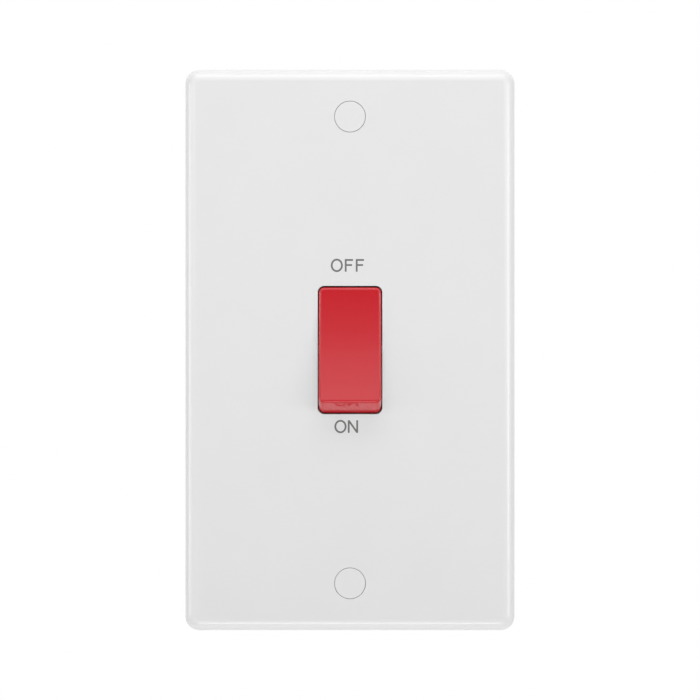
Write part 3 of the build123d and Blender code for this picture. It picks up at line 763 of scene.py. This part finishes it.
def plate_carriers(sizes):
    """Bearing cheeks, base screw posts and hold-down legs behind the plate, one at a time."""
    front = FACE + sizes.wall - SINK
    terminal_low, terminal_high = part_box("live_load_terminal")
    leg_z = (terminal_high.z + TERMINAL_START) / 2
    leg_end = terminal_low.y - LEG_GAP
    earth_leg_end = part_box("earth_terminal")[0].y - LEG_GAP
    for side in SIDES:
        near, far = sorted((side * BEARING_START, side * BEARING_END))
        cheek = new_block("cheek", (near, front, -CHEEK_HALF_HEIGHT), (far, PIVOT.y, CHEEK_HALF_HEIGHT))
        seat = new_rod("seat", (near - OVERRUN, PIVOT.y, 0), (far + OVERRUN, PIVOT.y, 0), BEARING_RADIUS)
        combine(cheek, seat, "DIFFERENCE")
        yield cheek
        for end in SIDES:
            x = side * EAR_X
            z = end * EAR_Z
            yield new_rod("screw_post", (x, front, z), (x, EAR_FRONT, z), POST_RADIUS)
            yield from hold_down_leg(side * TERMINAL_X, end * leg_z, TERMINAL_LEG, front, leg_end)
    yield from hold_down_leg(EARTH_X, 0, EARTH_LEG, front, earth_leg_end)


def opening_cut(plate):
    """The rocker's opening, whose end walls are round about the pivot."""
    radius = sweep_radius(plate)
    depth = 2 * (PIVOT.y - FACE)
    opening = rocker_form("opening", plate.aperture_width / 2, 0, depth, radius, plate.aperture_corner)
    slice_rows(opening, ALONG_Y, -depth, 0, OPENING_ROWS)
    shape_block(opening, 0, depth, lambda out: math.sqrt(radius**2 - out**2), lambda up: depth)
    return place_piece(opening, PIVOT)


def plate_cuts(switch):
    """The rocker's opening, cap seats, screw holes and pilot holes, one at a time."""
    caps = switch.caps
    front = FACE - OVERRUN
    yield opening_cut(switch.plate)
    for end in SIDES:
        z = end * FIXING_HEIGHT
        yield new_rod("cap_seat", (0, front, z), (0, FACE + caps.thickness, z), caps.radius + caps.gap)
        yield new_rod("head_bore", (0, front, z), (0, FACE + HEAD_BORE_DEPTH, z), HEAD_BORE_RADIUS)
        yield new_rod("screw_hole", (0, front, z), (0, OVERRUN, z), FIXING_HOLE_RADIUS)
        for side in SIDES:
            x = side * EAR_X
            z = end * EAR_Z
            yield new_rod("pilot", (x, PILOT_FRONT, z), (x, EAR_FRONT + OVERRUN, z), PILOT_RADIUS)


def at_face(a, b):
    """Whether both ends of an edge lie on the plate's front face."""
    return max(a.y, b.y) < FACE + TOUCH


def round_plate_edges(plate, switch):
    """Break the sharp edges of the rocker's opening and of the cap seats."""
    half_x = switch.plate.aperture_width / 2 + TOUCH
    half_z = switch.plate.aperture_height / 2 + TOUCH
    seat = switch.caps.radius + switch.caps.gap + TOUCH

    def in_opening(point):
        return abs(point.x) < half_x and abs(point.z) < half_z

    def in_seat(point):
        return math.hypot(point.x, abs(point.z) - FIXING_HEIGHT) < seat

    bevel_edges(
        plate, lambda a, b: at_face(a, b) and in_opening(a) and in_opening(b),
        switch.plate.aperture_edge, SMALL_SEGMENTS,
    )
    bevel_edges(
        plate, lambda a, b: at_face(a, b) and in_seat(a) and in_seat(b),
        switch.plate.seat_edge, SMALL_SEGMENTS,
    )


class SWITCH_OT_front_plate(bpy.types.Operator):
    """Model the front plate"""

    bl_idname = "switch.front_plate"
    bl_label = "Front plate"

    def execute(self, context):
        switch = context.scene.cooker_switch
        sizes = switch.plate
        plate = drafted_block(
            "plate_moulding", sizes.width, sizes.height, 0, FACE,
            sizes.draft, sizes.corner_radius, sizes.edge_radius,
        )
        combine(plate, plate_hollow(sizes), "DIFFERENCE")
        for tool in plate_ribs(sizes):
            combine(plate, tool, "UNION")
        for tool in plate_carriers(sizes):
            combine(plate, tool, "UNION")
        for tool in plate_cuts(switch):
            combine(plate, tool, "DIFFERENCE")
        round_plate_edges(plate, switch)
        tidy_mesh(plate)
        smooth_piece(plate)
        white = plastic("white_moulding", switch.finishes.white)
        complete(plate, "switch_body", "white_plastic", white, "front_plate")
        return {"FINISHED"}


# Screw caps


def model_upper_cap(sizes):
    """The upper push-in cap: a disc with a tube behind it."""
    start = (0, FACE, FIXING_HEIGHT)
    end = (0, FACE + sizes.thickness, FIXING_HEIGHT)
    cap = new_rod("upper_cap_moulding", start, end, sizes.radius)
    bevel_edges(cap, at_face, sizes.edge_radius, SMALL_SEGMENTS)
    select_faces(cap, lambda centre, normal: normal.y > FACING)
    bpy.ops.mesh.inset(thickness=sizes.radius - sizes.spigot_radius)
    bpy.ops.mesh.extrude_region_move(TRANSFORM_OT_translate={"value": (0, sizes.spigot_length, 0)})
    bpy.ops.mesh.inset(thickness=sizes.spigot_wall)
    bpy.ops.mesh.extrude_region_move(TRANSFORM_OT_translate={"value": (0, -sizes.spigot_length, 0)})
    bpy.ops.object.mode_set(mode="OBJECT")
    tidy_mesh(cap)
    smooth_piece(cap)
    return cap


class SWITCH_OT_screw_caps(bpy.types.Operator):
    """Model the two screw caps"""

    bl_idname = "switch.screw_caps"
    bl_label = "Screw caps"

    def execute(self, context):
        switch = context.scene.cooker_switch
        upper = model_upper_cap(switch.caps)
        lower = copy_piece(upper, "lower_cap_moulding", (0, 0, -2 * FIXING_HEIGHT))
        white = plastic("white_moulding", switch.finishes.white)
        complete(upper, "switch_body", "white_plastic", white, "upper_screw_cap")
        complete(lower, "switch_body", "white_plastic", white, "lower_screw_cap")
        return {"FINISHED"}


# Rocker


def dished_block(name, half_width, low, high, end, front, corner, edge):
    """The rocker's outer form or its hollow, level, with the pivot at the origin."""
    piece = rocker_form(name, half_width, low, high, end(low), corner)
    bevel_edges(piece, lambda a, b: max(a.y, b.y) < TOUCH - high, edge, EDGE_SEGMENTS)
    slice_rows(piece, ALONG_Y, -high + edge, -low, ROCKER_DEPTH_ROWS)
    slice_rows(piece, ALONG_Z, -end(low), end(low), ROCKER_HEIGHT_ROWS)
    shape_block(piece, low, high, end, front)
    return piece


def rocker_fittings(sizes, half_width, middle):
    """Cheeks, pivot pins and plunger barrels of the level rocker, one at a time."""
    inner = half_width - sizes.wall + SINK
    lug_end = half_width - SINK
    pin_end = half_width + sizes.trunnion_length
    front = sizes.wall / 2 - middle
    for side in SIDES:
        yield new_rod("lug", (side * inner, 0, 0), (side * lug_end, 0, 0), sizes.lug_radius)
        yield new_rod("pin", (side * inner, 0, 0), (side * pin_end, 0, 0), sizes.trunnion_radius)
        x = side * POLE_OFFSET
        yield new_rod("barrel", (x, sizes.barrel_reach, 0), (x, front, 0), sizes.barrel_radius)


def barrel_bores(sizes, middle):
    """The bores of the plunger barrels in the level rocker, one at a time."""
    mouth = sizes.barrel_reach + OVERRUN
    for side in SIDES:
        x = side * POLE_OFFSET
        yield new_rod("bore", (x, mouth, 0), (x, sizes.barrel_end - middle, 0), sizes.barrel_bore)


def model_rocker(sizes, plate):
    """The hollow rocker with its fittings, tilted to OFF."""
    radius = sweep_radius(plate) - sizes.gap
    half_width = plate.aperture_width / 2 - sizes.gap
    crease = TILT + math.asin((PIVOT.y - FACE + sizes.pressed_proud) / radius)
    crease_out = radius * math.sin(crease)
    crease_up = radius * math.cos(crease)
    dish_centre = crease_out + math.sqrt(sizes.dish_radius**2 - crease_up**2)
    middle = dish_centre - sizes.dish_radius
    inner_radius = sizes.dish_radius + sizes.wall

    def end(out):
        return crease_up + (crease_out - out) * math.tan(sizes.end_lean)

    rocker = dished_block(
        "rocker_moulding", half_width, sizes.rim, crease_out, end,
        lambda up: dish_centre - math.sqrt(sizes.dish_radius**2 - up**2),
        plate.aperture_corner - sizes.gap, sizes.edge_radius,
    )
    hollow = dished_block(
        "hollow", half_width - sizes.wall, 0, crease_out - sizes.wall, lambda out: end(out) - sizes.wall,
        lambda up: dish_centre - math.sqrt(inner_radius**2 - up**2),
        HOLLOW_EDGE, HOLLOW_EDGE,
    )
    combine(rocker, hollow, "DIFFERENCE")
    for tool in rocker_fittings(sizes, half_width, middle):
        combine(rocker, tool, "UNION")
    for tool in barrel_bores(sizes, middle):
        combine(rocker, tool, "DIFFERENCE")
    place_piece(rocker, PIVOT, -TILT)
    tidy_mesh(rocker)
    smooth_piece(rocker)
    return rocker


class SWITCH_OT_rocker(bpy.types.Operator):
    """Model the rocker in its OFF position"""

    bl_idname = "switch.rocker"
    bl_label = "Rocker"

    def execute(self, context):
        switch = context.scene.cooker_switch
        rocker = model_rocker(switch.rocker, switch.plate)
        red = plastic("red_moulding", switch.finishes.red)
        throw_neutral_light(red, ROCKER_BOUNCE)
        complete(rocker, "rocker", "red_plastic", red, "rocker")
        return {"FINISHED"}


# Printed words


def print_outline(name, corners, left, base, ink):
    """A printed letter from the corners of its outline."""
    bpy.ops.object.select_all(action="DESELECT")
    bpy.ops.mesh.primitive_circle_add(vertices=len(corners), radius=1, fill_type="NGON")
    letter = apply_place(name)
    for point, (across, up) in zip(letter.data.vertices, corners):
        point.co = (left + across, FACE + ink, base + up)
    return raise_print(letter, ink)


def print_ring(name, left, base, width, sizes):
    """A printed letter O."""
    half_z = sizes.cap_height / 2 + sizes.overshoot
    bpy.ops.object.select_all(action="DESELECT")
    bpy.ops.mesh.primitive_circle_add(
        vertices=RING_VERTICES, radius=1, fill_type="NGON", rotation=(math.pi / 2, 0, 0),
        location=(left + width / 2, FACE + sizes.ink, base + sizes.cap_height / 2),
    )
    bpy.context.object.scale = (width / 2, half_z, 1)
    letter = apply_place(name)
    select_faces(letter, lambda centre, normal: True)
    bpy.ops.mesh.inset(thickness=sizes.stroke)
    bpy.ops.mesh.delete(type="FACE")
    bpy.ops.object.mode_set(mode="OBJECT")
    return raise_print(letter, sizes.ink)


def raise_print(letter, ink):
    """Give a flat letter the thickness of its ink."""
    select_faces(letter, lambda centre, normal: True)
    bpy.ops.mesh.extrude_region_move(TRANSFORM_OT_translate={"value": (0, -2 * ink, 0)})
    bpy.ops.object.mode_set(mode="OBJECT")
    tidy_mesh(letter)
    return letter


def letter_f(sizes):
    """Corners of a letter F, from its foot."""
    top = sizes.cap_height
    stroke = sizes.stroke
    arm_low = top * F_ARM_SHARE
    arm_high = arm_low + stroke
    return [
        (0, 0), (stroke, 0), (stroke, arm_low), (F_ARM, arm_low), (F_ARM, arm_high),
        (stroke, arm_high), (stroke, top - stroke), (F_WIDTH, top - stroke), (F_WIDTH, top), (0, top),
    ]


def letter_n(sizes):
    """Corners of a letter N, from its left foot."""
    top = sizes.cap_height
    stroke = sizes.stroke
    right = N_WIDTH - stroke
    return [
        (0, 0), (stroke, 0), (stroke, top - N_DIAGONAL), (right, 0), (N_WIDTH, 0),
        (N_WIDTH, top), (right, top), (right, N_DIAGONAL), (stroke, top), (0, top),
    ]


class SWITCH_OT_words(bpy.types.Operator):
    """Print the words ON and OFF on the plate"""

    bl_idname = "switch.words"
    bl_label = "Printed words"

    def execute(self, context):
        switch = context.scene.cooker_switch
        sizes = switch.letters
        off_o = print_ring("off_o", OFF_LEFTS[0], sizes.off_base, OFF_O_WIDTH, sizes)
        first_f = print_outline("off_f_first", letter_f(sizes), OFF_LEFTS[1], sizes.off_base, sizes.ink)
        second_f = copy_piece(first_f, "off_f_second", (OFF_LEFTS[2] - OFF_LEFTS[1], 0, 0))
        on_o = print_ring("on_o", ON_LEFTS[0], -sizes.on_drop, ON_O_WIDTH, sizes)
        on_n = print_outline("on_n", letter_n(sizes), ON_LEFTS[1], -sizes.on_drop, sizes.ink)
        grey = plastic("grey_print", switch.finishes.ink)
        for letter in (off_o, first_f, second_f, on_o, on_n):
            complete(letter, "switch_body", "white_plastic", grey)
        return {"FINISHED"}


# Base


def model_base():
    """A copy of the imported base, with its sharp edges broken."""
    base = copy_piece(frame["nodes"]["switch_base"], "base_moulding", (0, 0, 0))
    open_edit(base, "FACE")
    bpy.ops.mesh.select_all(action="SELECT")
    bpy.ops.mesh.customdata_custom_splitnormals_clear()
    bpy.ops.mesh.remove_doubles(threshold=MERGE)
    bpy.ops.mesh.dissolve_limited(angle_limit=FLAT_LIMIT)
    bpy.ops.object.mode_set(mode="OBJECT")
    modifier = base.modifiers.new("broken_edges", "BEVEL")
    modifier.width = BASE_EDGE
    modifier.segments = BASE_EDGE_SEGMENTS
    modifier.limit_method = "ANGLE"
    modifier.angle_limit = SHARP_LIMIT
    modifier.use_clamp_overlap = True
    activate(base)
    bpy.ops.object.modifier_apply(modifier=modifier.name)
    tidy_mesh(base)
    smooth_piece(base)
    return base


class SWITCH_OT_switch_base(bpy.types.Operator):
    """Break the sharp edges of the moulded base"""

    bl_idname = "switch.switch_base"
    bl_label = "Switch base"

    def execute(self, context):
        switch = context.scene.cooker_switch
        base = model_base()
        matt = plastic("matt_base_plastic", switch.finishes.base)
        complete(base, "switch_body", "base_moulding", matt, "switch_base")
        return {"FINISHED"}


# Screws


def cut_thread(screw, x, z, radius, pitch, depth, first, last):
    """Move a rod's side onto a helical thread between two places along y."""
    for point in screw.data.vertices:
        offset = Vector((point.co.x - x, point.co.z - z))
        along = point.co.y
        if offset.length < radius - TOUCH or along < first or along > last:
            continue
        turn = math.atan2(offset.y, offset.x) / (2 * math.pi)
        groove = abs(2 * ((along / pitch + turn) % 1) - 1)
        fade = min(1, (along - first) / pitch, (last - along) / pitch)
        offset *= 1 - depth * groove * fade / radius
        point.co.x = x + offset.x
        point.co.z = z + offset.y


def threaded_rod(name, x, z, tip, back, radius, pitch):
    """A rod along y with a pointed tip and a helical thread."""
    rod = new_rod(name, (x, tip, z), (x, back, z), radius, THREAD_VERTICES)
    bevel_edges(rod, lambda a, b: max(a.y, b.y) < tip + TOUCH, SCREW_TIP_EDGE, CHAMFER_SEGMENTS)
    rod_length = back - tip
    rings = round(THREAD_ROWS * rod_length / pitch)
    select_edges(rod, lambda a, b: abs(a.y - b.y) > rod_length / 2)
    bpy.ops.mesh.subdivide(number_cuts=rings)
    bpy.ops.object.mode_set(mode="OBJECT")
    first = tip + SCREW_TIP_EDGE
    cut_thread(rod, x, z, radius, pitch, pitch * THREAD_DEPTH_SHARE, first, back - pitch / 2)
    return rod


def cut_slot(screw, x, z, back, reach):
    """Cut a driver slot into the back of a screw."""
    half = SLOT_WIDTH / 2
    front = back - SLOT_DEPTH
    low = (x - reach - OVERRUN, front, z - half)
    combine(screw, new_block("slot", low, (x + reach + OVERRUN, back + OVERRUN, z + half)), "DIFFERENCE")


def repeat_piece(piece, offsets):
    """Copy a piece to more places and join the copies to it."""
    copies = [copy_piece(piece, piece.name, offset) for offset in offsets]
    activate(piece)
    for copy in copies:
        copy.select_set(True)
    bpy.ops.object.join()
    tidy_mesh(piece)
    smooth_piece(piece)
    return piece


def terminal_screw_set(name, node, radius, pitch, xs, zs):
    """The headless screws of one node, all alike."""
    low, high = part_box(node)
    screw = threaded_rod(name, xs[0], zs[0], low.y, high.y, radius, pitch)
    cut_slot(screw, xs[0], zs[0], high.y, radius)
    offsets = [(x - xs[0], 0, z - zs[0]) for x in xs for z in zs]
    return repeat_piece(screw, offsets[1:])


def base_screw_set(name):
    """The four pan-head screws between base and plate."""
    low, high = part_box("base_screws")
    head_front = high.y - BASE_HEAD_HEIGHT
    screw = threaded_rod(name, EAR_X, EAR_Z, low.y, head_front + SINK, BASE_SCREW_RADIUS, BASE_THREAD)
    head = new_rod("head", (EAR_X, head_front, EAR_Z), (EAR_X, high.y, EAR_Z), BASE_HEAD_RADIUS)
    bevel_edges(head, lambda a, b: min(a.y, b.y) > high.y - TOUCH, BASE_HEAD_EDGE, EDGE_SEGMENTS)
    combine(screw, head, "UNION")
    cut_slot(screw, EAR_X, EAR_Z, high.y, BASE_HEAD_RADIUS)
    offsets = [((side - 1) * EAR_X, 0, (end - 1) * EAR_Z) for side in SIDES for end in SIDES]
    return repeat_piece(screw, offsets[1:])


class SWITCH_OT_screws(bpy.types.Operator):
    """Model the terminal, earth and base screws"""

    bl_idname = "switch.screws"
    bl_label = "Screws"

    def execute(self, context):
        finishes = context.scene.cooker_switch.finishes
        plated = metal("plated_brass", finishes.brass)
        zinc = metal("zinc_screw", finishes.steel)
        step = TERMINAL_SCREW_SPACING / 2
        zs = [end * (TERMINAL_Z + way * step) for end in SIDES for way in SIDES]
        xs = [side * TERMINAL_X for side in SIDES]
        terminal = terminal_screw_set(
            "threaded_terminal_screws", "terminal_screws", TERMINAL_SCREW_RADIUS, TERMINAL_THREAD, xs, zs
        )
        complete(terminal, "switch_body", "plated_screw", plated, "terminal_screws")
        zs = [end * EARTH_SCREW_SPACING / 2 for end in SIDES]
        earth = terminal_screw_set(
            "threaded_earth_screws", "earth_screws", EARTH_SCREW_RADIUS, EARTH_THREAD, [EARTH_X], zs
        )
        complete(earth, "switch_body", "plated_screw", plated, "earth_screws")
        complete(base_screw_set("threaded_base_screws"), "switch_body", "steel", zinc, "base_screws")
        return {"FINISHED"}


# Springs


def model_live_spring(sizes):
    """The live coil spring with its ground ends, made on the level rocker and tilted with it."""
    pitch = sizes.rest_length / sizes.turns
    turns = sizes.turns + 1
    start = sizes.start + pitch / 2
    bpy.ops.object.select_all(action="DESELECT")
    bpy.ops.mesh.primitive_circle_add(
        vertices=WIRE_VERTICES, radius=sizes.wire_radius, location=(sizes.coil_radius, start, 0)
    )
    spring = apply_place("live_coil")
    coil = spring.modifiers.new("coil", "SCREW")
    coil.axis = "Y"
    coil.angle = -2 * math.pi * turns
    coil.screw_offset = -pitch * turns
    coil.steps = round(COIL_STEPS * turns)
    coil.render_steps = coil.steps
    activate(spring)
    bpy.ops.object.modifier_apply(modifier=coil.name)
    open_edit(spring, "FACE")
    bpy.ops.mesh.select_all(action="SELECT")
    bpy.ops.mesh.fill_holes(sides=0)
    bpy.ops.object.mode_set(mode="OBJECT")
    tidy_mesh(spring)
    reach = sizes.coil_radius + 2 * sizes.wire_radius
    end = sizes.start - sizes.rest_length
    combine(spring, new_block("ground", (-reach, end, -reach), (reach, sizes.start, reach)), "INTERSECT")
    place_piece(spring, (POLE_OFFSET, 0, 0))
    place_piece(spring, PIVOT, -TILT)
    tidy_mesh(spring)
    smooth_piece(spring, COIL_ROUND_LIMIT)
    return spring


class SWITCH_OT_springs(bpy.types.Operator):
    """Model the two plunger springs"""

    bl_idname = "switch.springs"
    bl_label = "Plunger springs"

    def execute(self, context):
        switch = context.scene.cooker_switch
        sizes = switch.spring
        live = model_live_spring(sizes)
        neutral = copy_piece(live, "neutral_coil", (-2 * POLE_OFFSET, 0, 0))
        wire = metal("spring_wire", switch.finishes.steel)
        for (pole, side), spring in zip(POLES, (live, neutral)):
            complete(spring, "rocker", "steel", wire, f"{pole}_spring")
            slide = joint(f"{pole}_plunger_slide")
            keep = 1 - max(slide["range_m"]) / sizes.rest_length
            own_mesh(spring)
        return {"FINISHED"}


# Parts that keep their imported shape


def dress(node, material):
    """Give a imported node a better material."""
    mesh = frame["nodes"][node].data
    mesh.materials.clear()
    mesh.materials.append(material)


class SWITCH_OT_contacts(bpy.types.Operator):
    """Finish the terminals, contacts and plungers"""

    bl_idname = "switch.contacts"
    bl_label = "Terminals and contacts"

    def execute(self, context):
        finishes = context.scene.cooker_switch.finishes
        brass = metal("machined_brass", finishes.brass)
        copper = metal("rolled_copper", finishes.copper)
        silver = metal("contact_silver", finishes.silver)
        nylon = plastic("natural_nylon", finishes.nylon)
        dress("earth_terminal", brass)
        for pole, _ in POLES:
            dress(f"{pole}_supply_terminal", brass)
            dress(f"{pole}_load_terminal", brass)
            dress(f"{pole}_moving_contact", copper)
            dress(f"{pole}_moving_tip", silver)
            dress(f"{pole}_fixed_tip", silver)
            dress(f"{pole}_plunger", nylon)
        return {"FINISHED"}


# Stage


def mix_shaders(tree, share, first, second):
    """A socket with a share of the second shader over the first."""
    mix = tree.nodes.new("ShaderNodeMixShader")
    tree.links.new(share, mix.inputs["Fac"])
    tree.links.new(first, mix.inputs[1])
    tree.links.new(second, mix.inputs[2])
    return mix.outputs["Shader"]


def seen_directly(tree):
    """A socket that is 1 for camera, glossy and transmission rays."""
    path = tree.nodes.new("ShaderNodeLightPath")
    seen = math_node(tree, "MAXIMUM", path.outputs["Is Camera Ray"], path.outputs["Is Glossy Ray"])
    return math_node(tree, "MAXIMUM", seen, path.outputs["Is Transmission Ray"])


def add_lamp(name, azimuth, elevation, distance, width, height, level, mirrored):
    """A soft box that faces the switch; azimuth 0 is straight in front, positive to the right."""
    azimuth = math.radians(azimuth)
    elevation = math.radians(elevation)
    flat = distance * math.cos(elevation)
    place = Vector((flat * math.sin(azimuth), -flat * math.cos(azimuth), distance * math.sin(elevation)))
    turn = (-place).to_track_quat("-Z", "Y").to_euler()
    bpy.ops.object.light_add(type="AREA", location=place, rotation=turn)
    lamp = bpy.context.object
    lamp.name = name
    lamp.data.shape = "RECTANGLE"
    lamp.data.size = width
    lamp.data.size_y = height
    lamp.data.energy = level * math.pi * width * height
    lamp.visible_camera = False
    lamp.visible_glossy = mirrored


def card_material(name, level, low_fade, high_fade):
    """A glow that fades out into clear at the lower and at the upper end of its card."""
    material = bpy.data.materials.new(name)
    material.use_nodes = True
    tree = material.node_tree
    glow = tree.nodes.new("ShaderNodeEmission")
    glow.inputs["Strength"].default_value = level
    clear = tree.nodes.new("ShaderNodeBsdfTransparent")
    place = tree.nodes.new("ShaderNodeTexCoord")
    split = tree.nodes.new("ShaderNodeSeparateXYZ")
    tree.links.new(place.outputs["Generated"], split.inputs[0])
    up = math_node(tree, "DIVIDE", split.outputs["Z"], low_fade)
    down = math_node(tree, "DIVIDE", math_node(tree, "SUBTRACT", 1.0, split.outputs["Z"]), high_fade)
    share = math_node(tree, "MINIMUM", math_node(tree, "MINIMUM", up, down), 1.0)
    surface = mix_shaders(tree, share, clear.outputs["BSDF"], glow.outputs["Emission"])
    tree.links.new(surface, tree.nodes["Material Output"].inputs["Surface"])
    return material


def add_card(name, low, high, width, level, low_fade, high_fade):
    """A card before the switch between two elevations, which the camera doesn't see."""
    foot = CARD_DISTANCE * math.tan(math.radians(low))
    head = CARD_DISTANCE * math.tan(math.radians(high))
    place = (0, -CARD_DISTANCE, (foot + head) / 2)
    bpy.ops.object.select_all(action="DESELECT")
    bpy.ops.mesh.primitive_plane_add(size=1, location=place, rotation=(math.pi / 2, 0, 0))
    bpy.context.object.scale = (width, head - foot, 1)
    card = apply_place(name)
    card.visible_camera = False
    card.data.materials.append(card_material(name, level, low_fade, high_fade))


def floor_fade(tree, stage):
    """A socket with the floor's share of white, which rises away from its middle."""
    place = tree.nodes.new("ShaderNodeTexCoord")
    flat = tree.nodes.new("ShaderNodeVectorMath")
    flat.operation = "MULTIPLY"
    flat.inputs[1].default_value = (1, 1, 0)
    span = tree.nodes.new("ShaderNodeVectorMath")
    span.operation = "LENGTH"
    fade = tree.nodes.new("ShaderNodeMapRange")
    fade.interpolation_type = "SMOOTHSTEP"
    fade.inputs["From Min"].default_value = stage.floor_radius * FLOOR_FADE_START
    fade.inputs["From Max"].default_value = stage.floor_radius * FLOOR_FADE_END
    fade.inputs["To Min"].default_value = FLOOR_LEAST_WHITE
    tree.links.new(place.outputs["Object"], flat.inputs[0])
    tree.links.new(flat.outputs[0], span.inputs[0])
    tree.links.new(span.outputs["Value"], fade.inputs["Value"])
    return fade.outputs["Result"]


def floor_material(stage):
    """A pale floor that keeps the shadow, runs out into white and is clear from below."""
    material = bpy.data.materials.new("studio_floor")
    material.use_nodes = True
    tree = material.node_tree
    shader = tree.nodes["Principled BSDF"]
    shader.inputs["Base Color"].default_value = FLOOR_TONE
    shader.inputs["Roughness"].default_value = FLOOR_ROUGHNESS
    glow = tree.nodes.new("ShaderNodeEmission")
    clear = tree.nodes.new("ShaderNodeBsdfTransparent")
    geometry = tree.nodes.new("ShaderNodeNewGeometry")
    share = math_node(tree, "MULTIPLY", floor_fade(tree, stage), seen_directly(tree))
    upper = mix_shaders(tree, share, shader.outputs["BSDF"], glow.outputs["Emission"])
    surface = mix_shaders(tree, geometry.outputs["Backfacing"], upper, clear.outputs["BSDF"])
    tree.links.new(surface, tree.nodes["Material Output"].inputs["Surface"])
    return material


def make_floor(stage):
    """A round floor under the switch."""
    bpy.ops.object.select_all(action="DESELECT")
    bpy.ops.mesh.primitive_circle_add(
        vertices=ROUND_VERTICES, radius=stage.floor_radius, fill_type="NGON",
        location=(0, 0, PLATE_LOW.z - stage.floor_drop),
    )
    floor = apply_place("studio_floor")
    floor.data.materials.append(floor_material(stage))


def make_world(stage):
    """A world that is white to look at and lights the switch evenly."""
    world = bpy.data.worlds.new("studio_world")
    bpy.context.scene.world = world
    world.use_nodes = True
    tree = world.node_tree
    ambient = tree.nodes["Background"]
    ambient.inputs["Color"].default_value = WHITE_LIGHT
    ambient.inputs["Strength"].default_value = stage.ambient
    backdrop = tree.nodes.new("ShaderNodeBackground")
    backdrop.inputs["Color"].default_value = WHITE_LIGHT
    surface = mix_shaders(
        tree, seen_directly(tree), ambient.outputs["Background"], backdrop.outputs["Background"]
    )
    tree.links.new(surface, tree.nodes["World Output"].inputs["Surface"])


def add_camera(stage):
    """The camera that looks at the switch square on, as the photograph does."""
    place = (0, -stage.camera_distance, 0)
    bpy.ops.object.camera_add(location=place, rotation=(math.pi / 2, 0, 0))
    camera = bpy.context.object
    camera.name = "photo_camera"
    camera.data.sensor_fit = "HORIZONTAL"
    camera.data.angle = stage.view_angle
    camera.data.clip_start = CAMERA_NEAR
    bpy.context.scene.camera = camera


class SWITCH_OT_stage(bpy.types.Operator):
    """Set up the floor, the world, the cards, the lamps and the camera"""

    bl_idname = "switch.stage"
    bl_label = "Stage"

    def execute(self, context):
        stage = context.scene.cooker_switch.stage
        make_floor(stage)
        make_world(stage)
        for card in CARDS:
            add_card(*card)
        for *place, level, mirrored in LAMPS:
            add_lamp(*place, level * stage.lamp_level, mirrored)
        add_camera(stage)
        context.scene.view_settings.view_transform = "Standard"
        return {"FINISHED"}


# Add-on


STEP_OPERATORS = (
    SWITCH_OT_front_plate,
    SWITCH_OT_screw_caps,
    SWITCH_OT_rocker,
    SWITCH_OT_words,
    SWITCH_OT_switch_base,
    SWITCH_OT_screws,
    SWITCH_OT_springs,
    SWITCH_OT_contacts,
    SWITCH_OT_stage,
)

GROUP_NAMES = ("plate", "caps", "rocker", "letters", "spring", "finishes", "stage")


class SWITCH_PT_panel(bpy.types.Panel):
    """Sizes and steps of the cooker switch"""

    bl_idname = "SWITCH_PT_panel"
    bl_label = "Cooker switch"
    bl_space_type = "VIEW_3D"
    bl_region_type = "UI"
    bl_category = "Cooker switch"

    def draw(self, context):
        layout = self.layout
        switch = context.scene.cooker_switch
        for group in GROUP_NAMES:
            box = layout.box()
            box.label(text=group.capitalize())
            sizes = getattr(switch, group)
            for name in sizes.__annotations__:
                box.prop(sizes, name)
        for operator in STEP_OPERATORS:
            layout.operator(operator.bl_idname)


CLASSES = (
    PlateSizes,
    CapSizes,
    RockerSizes,
    LetterSizes,
    SpringSizes,
    Finishes,
    StageSettings,
    CookerSwitch,
    *STEP_OPERATORS,
    SWITCH_PT_panel,
)


def register():
    """Register the classes and the switch's settings."""
    for cls in CLASSES:
        bpy.utils.register_class(cls)
    bpy.types.Scene.cooker_switch = PointerProperty(type=CookerSwitch)


def unregister():
    """Take the settings and the classes out again."""
    del bpy.types.Scene.cooker_switch
    for cls in reversed(CLASSES):
        bpy.utils.unregister_class(cls)


def main():
    """Build the switch on its stage."""
    register()
    bpy.ops.switch.front_plate()
    bpy.ops.switch.screw_caps()
    bpy.ops.switch.rocker()
    bpy.ops.switch.words()
    bpy.ops.switch.switch_base()
    bpy.ops.switch.screws()
    bpy.ops.switch.springs()
    bpy.ops.switch.contacts()
    bpy.ops.switch.stage()


if __name__ == "__main__":
    main()
